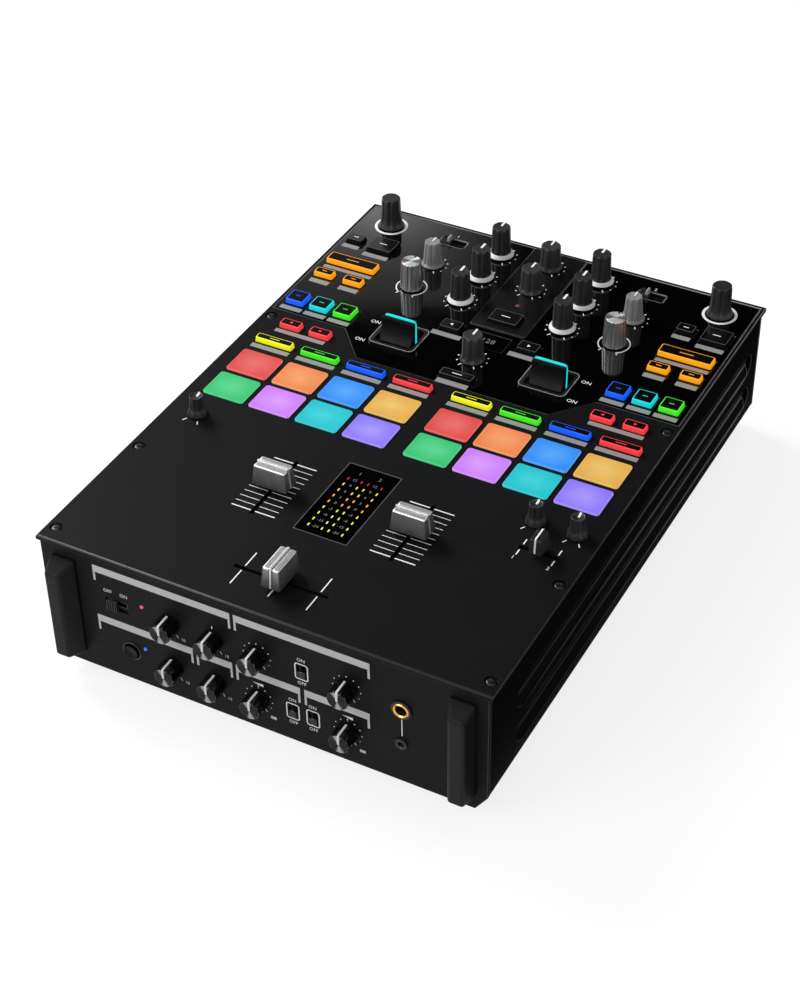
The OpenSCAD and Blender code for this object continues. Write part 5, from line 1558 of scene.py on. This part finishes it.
FLOOR_HALF = 8
CARD_LOW, CARD_HIGH, CARD_LEVEL = (0.137, -0.19), (0.9, 0.9), 0.001
BOARD_MIDDLE = np.array([-0.594, 1.090, 1.100])
BOARD_ACROSS, BOARD_UP = np.array([0.878, 0.478, 0]), np.array([0.302, -0.554, 0.776])
BOARD_HALF, BOARD_FOOT, BOARD_HEAD = 3.2, -1.25, 2.2
# Lamps: place, width, height and power
LAMP_TARGET = (0, 0, 0.05)
LAMPS = {"key_lamp": ((-1.3, 0.35, 1.2), 0.8, 0.6, 22), "fill_lamp": ((-0.7, -1.3, 0.9), 1.2, 0.8, 9)}


def posed(axes, place):
    """The matrix of an object with those axes, as columns, at a place."""
    return Matrix([[*axes[i], place[i]] for i in range(3)] + [[0, 0, 0, 1]])


def flat_piece(name, corners, material):
    """A flat four-cornered piece of the stage."""
    mesh = bpy.data.meshes.new(name)
    mesh.from_pydata(corners, [], [(0, 1, 2, 3)])
    mesh.materials.append(material)
    obj = bpy.data.objects.new(name, mesh)
    bpy.context.scene.collection.objects.link(obj)
    return obj


def level_piece(name, low, high, level, material):
    """A level piece of the stage between two corners."""
    corners = [(*low, level), (high[0], low[1], level), (*high, level), (low[0], high[1], level)]
    return flat_piece(name, corners, material)


def area(name, place, width, height, power):
    """A rectangular lamp that faces the object."""
    lamp = bpy.data.lights.new(name, "AREA")
    lamp.shape, lamp.size, lamp.size_y, lamp.energy = "RECTANGLE", width, height, power
    obj = bpy.data.objects.new(name, lamp)
    bpy.context.scene.collection.objects.link(obj)
    z = np.array(place, float) - LAMP_TARGET
    z /= np.linalg.norm(z)
    x = np.cross((0, 0, 1), z)
    x /= np.linalg.norm(x)
    obj.matrix_world = posed(np.column_stack([x, np.cross(z, x), z]), place)


def make_camera(scene, s):
    """The camera, turned to its azimuth and elevation and then about its own axis."""
    a, e, r = s.azimuth, s.elevation, s.roll
    right = np.array([math.cos(a), math.sin(a), 0])
    forward = np.array([-math.sin(a) * math.cos(e), math.cos(a) * math.cos(e), -math.sin(e)])
    turned = right * math.cos(r) + np.cross(right, forward) * math.sin(r)
    camera = bpy.data.objects.new("camera", bpy.data.cameras.new("camera"))
    camera.data.lens, camera.data.sensor_width = s.lens, 36
    camera.matrix_world = posed(np.column_stack([turned, np.cross(turned, forward), -forward]), s.place)
    scene.collection.objects.link(camera)
    scene.camera = camera


def make_stage(scene):
    """Camera, white floor, lamps, a dark board that the gloss panel mirrors, and the surroundings."""
    s = scene.mixer_stage
    scene.view_settings.view_transform = "Standard"
    make_camera(scene, s)
    floor = Finish("floor_white", base=(0.3, 0.3, 0.3, 1), rough=0.9, specular=0.0, glow=(1, 1, 1, 1))
    floor.set(glow_level=floor.calc("MULTIPLY", floor.seen(), 0.8))
    level_piece("floor", (-FLOOR_HALF, -FLOOR_HALF), (FLOOR_HALF, FLOOR_HALF), 0, floor.material)
    scene.world = bpy.data.worlds.new("surroundings")
    scene.world.use_nodes = True
    around = Nodes(scene.world.node_tree)
    background = around.tree.nodes["Background"].inputs
    strength = around.node("Mix", {"Factor": around.seen(), "A": s.ambient, "B": 1.0})
    around.feed(background["Strength"], strength)
    around.feed(background["Color"], (1, 1, 1, 1))
    hide_from_view(mirror_board())
    black = Finish("black_card", base=(0.004, 0.004, 0.004, 1), rough=1.0, specular=0.0)
    hide_from_view(level_piece("side_card", CARD_LOW, CARD_HIGH, CARD_LEVEL, black.material))
    for name, lamp in LAMPS.items():
        area(name, *lamp)


def hide_from_view(obj):
    """Leaves a piece of the stage to reflections alone."""
    obj.visible_camera = obj.visible_diffuse = obj.visible_shadow = obj.visible_transmission = False


def mirror_board():
    """A dark board with a glow. With u and w its own coordinates from its middle, it glows as 0.32 where
    w < -0.21 and u < 0.1, with soft edges, and in two brighter patches."""
    f = Finish("board_glow", base=BLACK, rough=1.0, specular=0.0, glow=(1, 1, 1, 1))
    place = f.vector("SUBTRACT", f.where(), BOARD_MIDDLE)
    u, w = (f.vector("DOT_PRODUCT", place, axis, "Value") for axis in (BOARD_ACROSS, BOARD_UP))

    def patch(u_at, w_at, u_width, w_width, level):
        """A soft round patch: level * exp(-distance squared) in units of its widths."""
        steps = [f.calc("POWER", f.calc("DIVIDE", f.calc("SUBTRACT", value, at), width), 2.0)
                 for value, at, width in ((u, u_at, u_width), (w, w_at, w_width))]
        fall = f.calc("EXPONENT", f.calc("MULTIPLY", f.calc("ADD", *steps), -1.0))
        return f.calc("MULTIPLY", fall, level)

    zone = f.calc("MULTIPLY", f.spread(w, 0.32, 0, -0.216, -0.204), f.spread(u, 1, 0, 0.05, 0.16))
    patches = f.calc("ADD", patch(-0.04, -0.36, 0.09, 0.06, 1.9), patch(-0.86, -0.55, 0.14, 0.3, 7.0))
    f.set(glow_level=f.calc("ADD", zone, patches))
    places = ((-BOARD_HALF, BOARD_FOOT), (BOARD_HALF, BOARD_FOOT), (BOARD_HALF, BOARD_HEAD),
              (-BOARD_HALF, BOARD_HEAD))
    return flat_piece("mirror_board", [BOARD_MIDDLE + BOARD_ACROSS * i + BOARD_UP * j for i, j in places],
                      f.material)


# ---------- operators and panel ----------


def operator(name, label, maker):
    """Makes the operator class that runs one maker."""
    def execute(self, context):
        maker(context.scene)
        return {"FINISHED"}
    members = {"bl_idname": "mixer." + name, "bl_label": label, "bl_options": {"REGISTER", "UNDO"},
               "__doc__": maker.__doc__, "execute": execute}
    return type("MIXER_OT_" + name, (bpy.types.Operator,), members)


OPERATORS = [operator(*each) for each in (
    ("materials", "Finishes", make_materials),
    ("case", "Case and Panels", make_case),
    ("screws", "Screws and Pillars", make_screws),
    ("feet", "Feet", make_feet),
    ("printing", "Printing", make_printing),
    ("displays", "Displays and Lights", make_displays),
    ("knobs", "Knobs", make_knobs),
    ("pads", "Pads", make_pads),
    ("keys", "Keys", make_keys),
    ("levers", "Effect Levers", make_levers),
    ("faders", "Faders", make_faders),
    ("switches", "Switches and Buttons", make_switches),
    ("sockets", "Socket Trims", make_sockets),
    ("stage", "Stage", make_stage),
)]
SETTINGS = {
    "mixer_case": CaseSettings, "mixer_knobs": KnobSettings, "mixer_keys": KeySettings,
    "mixer_faders": FaderSettings, "mixer_stage": StageSettings,
}


class MIXER_PT_panel(bpy.types.Panel):
    """Lists the makers and their settings."""

    bl_idname = "MIXER_PT_panel"
    bl_label = "Two-Channel Mixer"
    bl_space_type = "VIEW_3D"
    bl_region_type = "UI"
    bl_category = "Mixer"

    def draw(self, context):
        for each in OPERATORS:
            self.layout.operator(each.bl_idname)
        for name in SETTINGS:
            group = getattr(context.scene, name)
            for key in group.__annotations__:
                self.layout.prop(group, key)


CLASSES = [*SETTINGS.values(), *OPERATORS, MIXER_PT_panel]


def register():
    """Registers the classes and hangs the settings on the scene."""
    for each in CLASSES:
        bpy.utils.register_class(each)
    for name, group in SETTINGS.items():
        setattr(bpy.types.Scene, name, PointerProperty(type=group))


def unregister():
    """Takes the settings and classes away again."""
    for name in SETTINGS:
        delattr(bpy.types.Scene, name)
    for each in reversed(CLASSES):
        bpy.utils.unregister_class(each)


def main():
    """Builds everything and writes the sizes before and after."""
    register()
    for each in OPERATORS:
        getattr(bpy.ops.mixer, each.bl_idname.split(".")[1])()


if __name__ == "__main__":
    main()
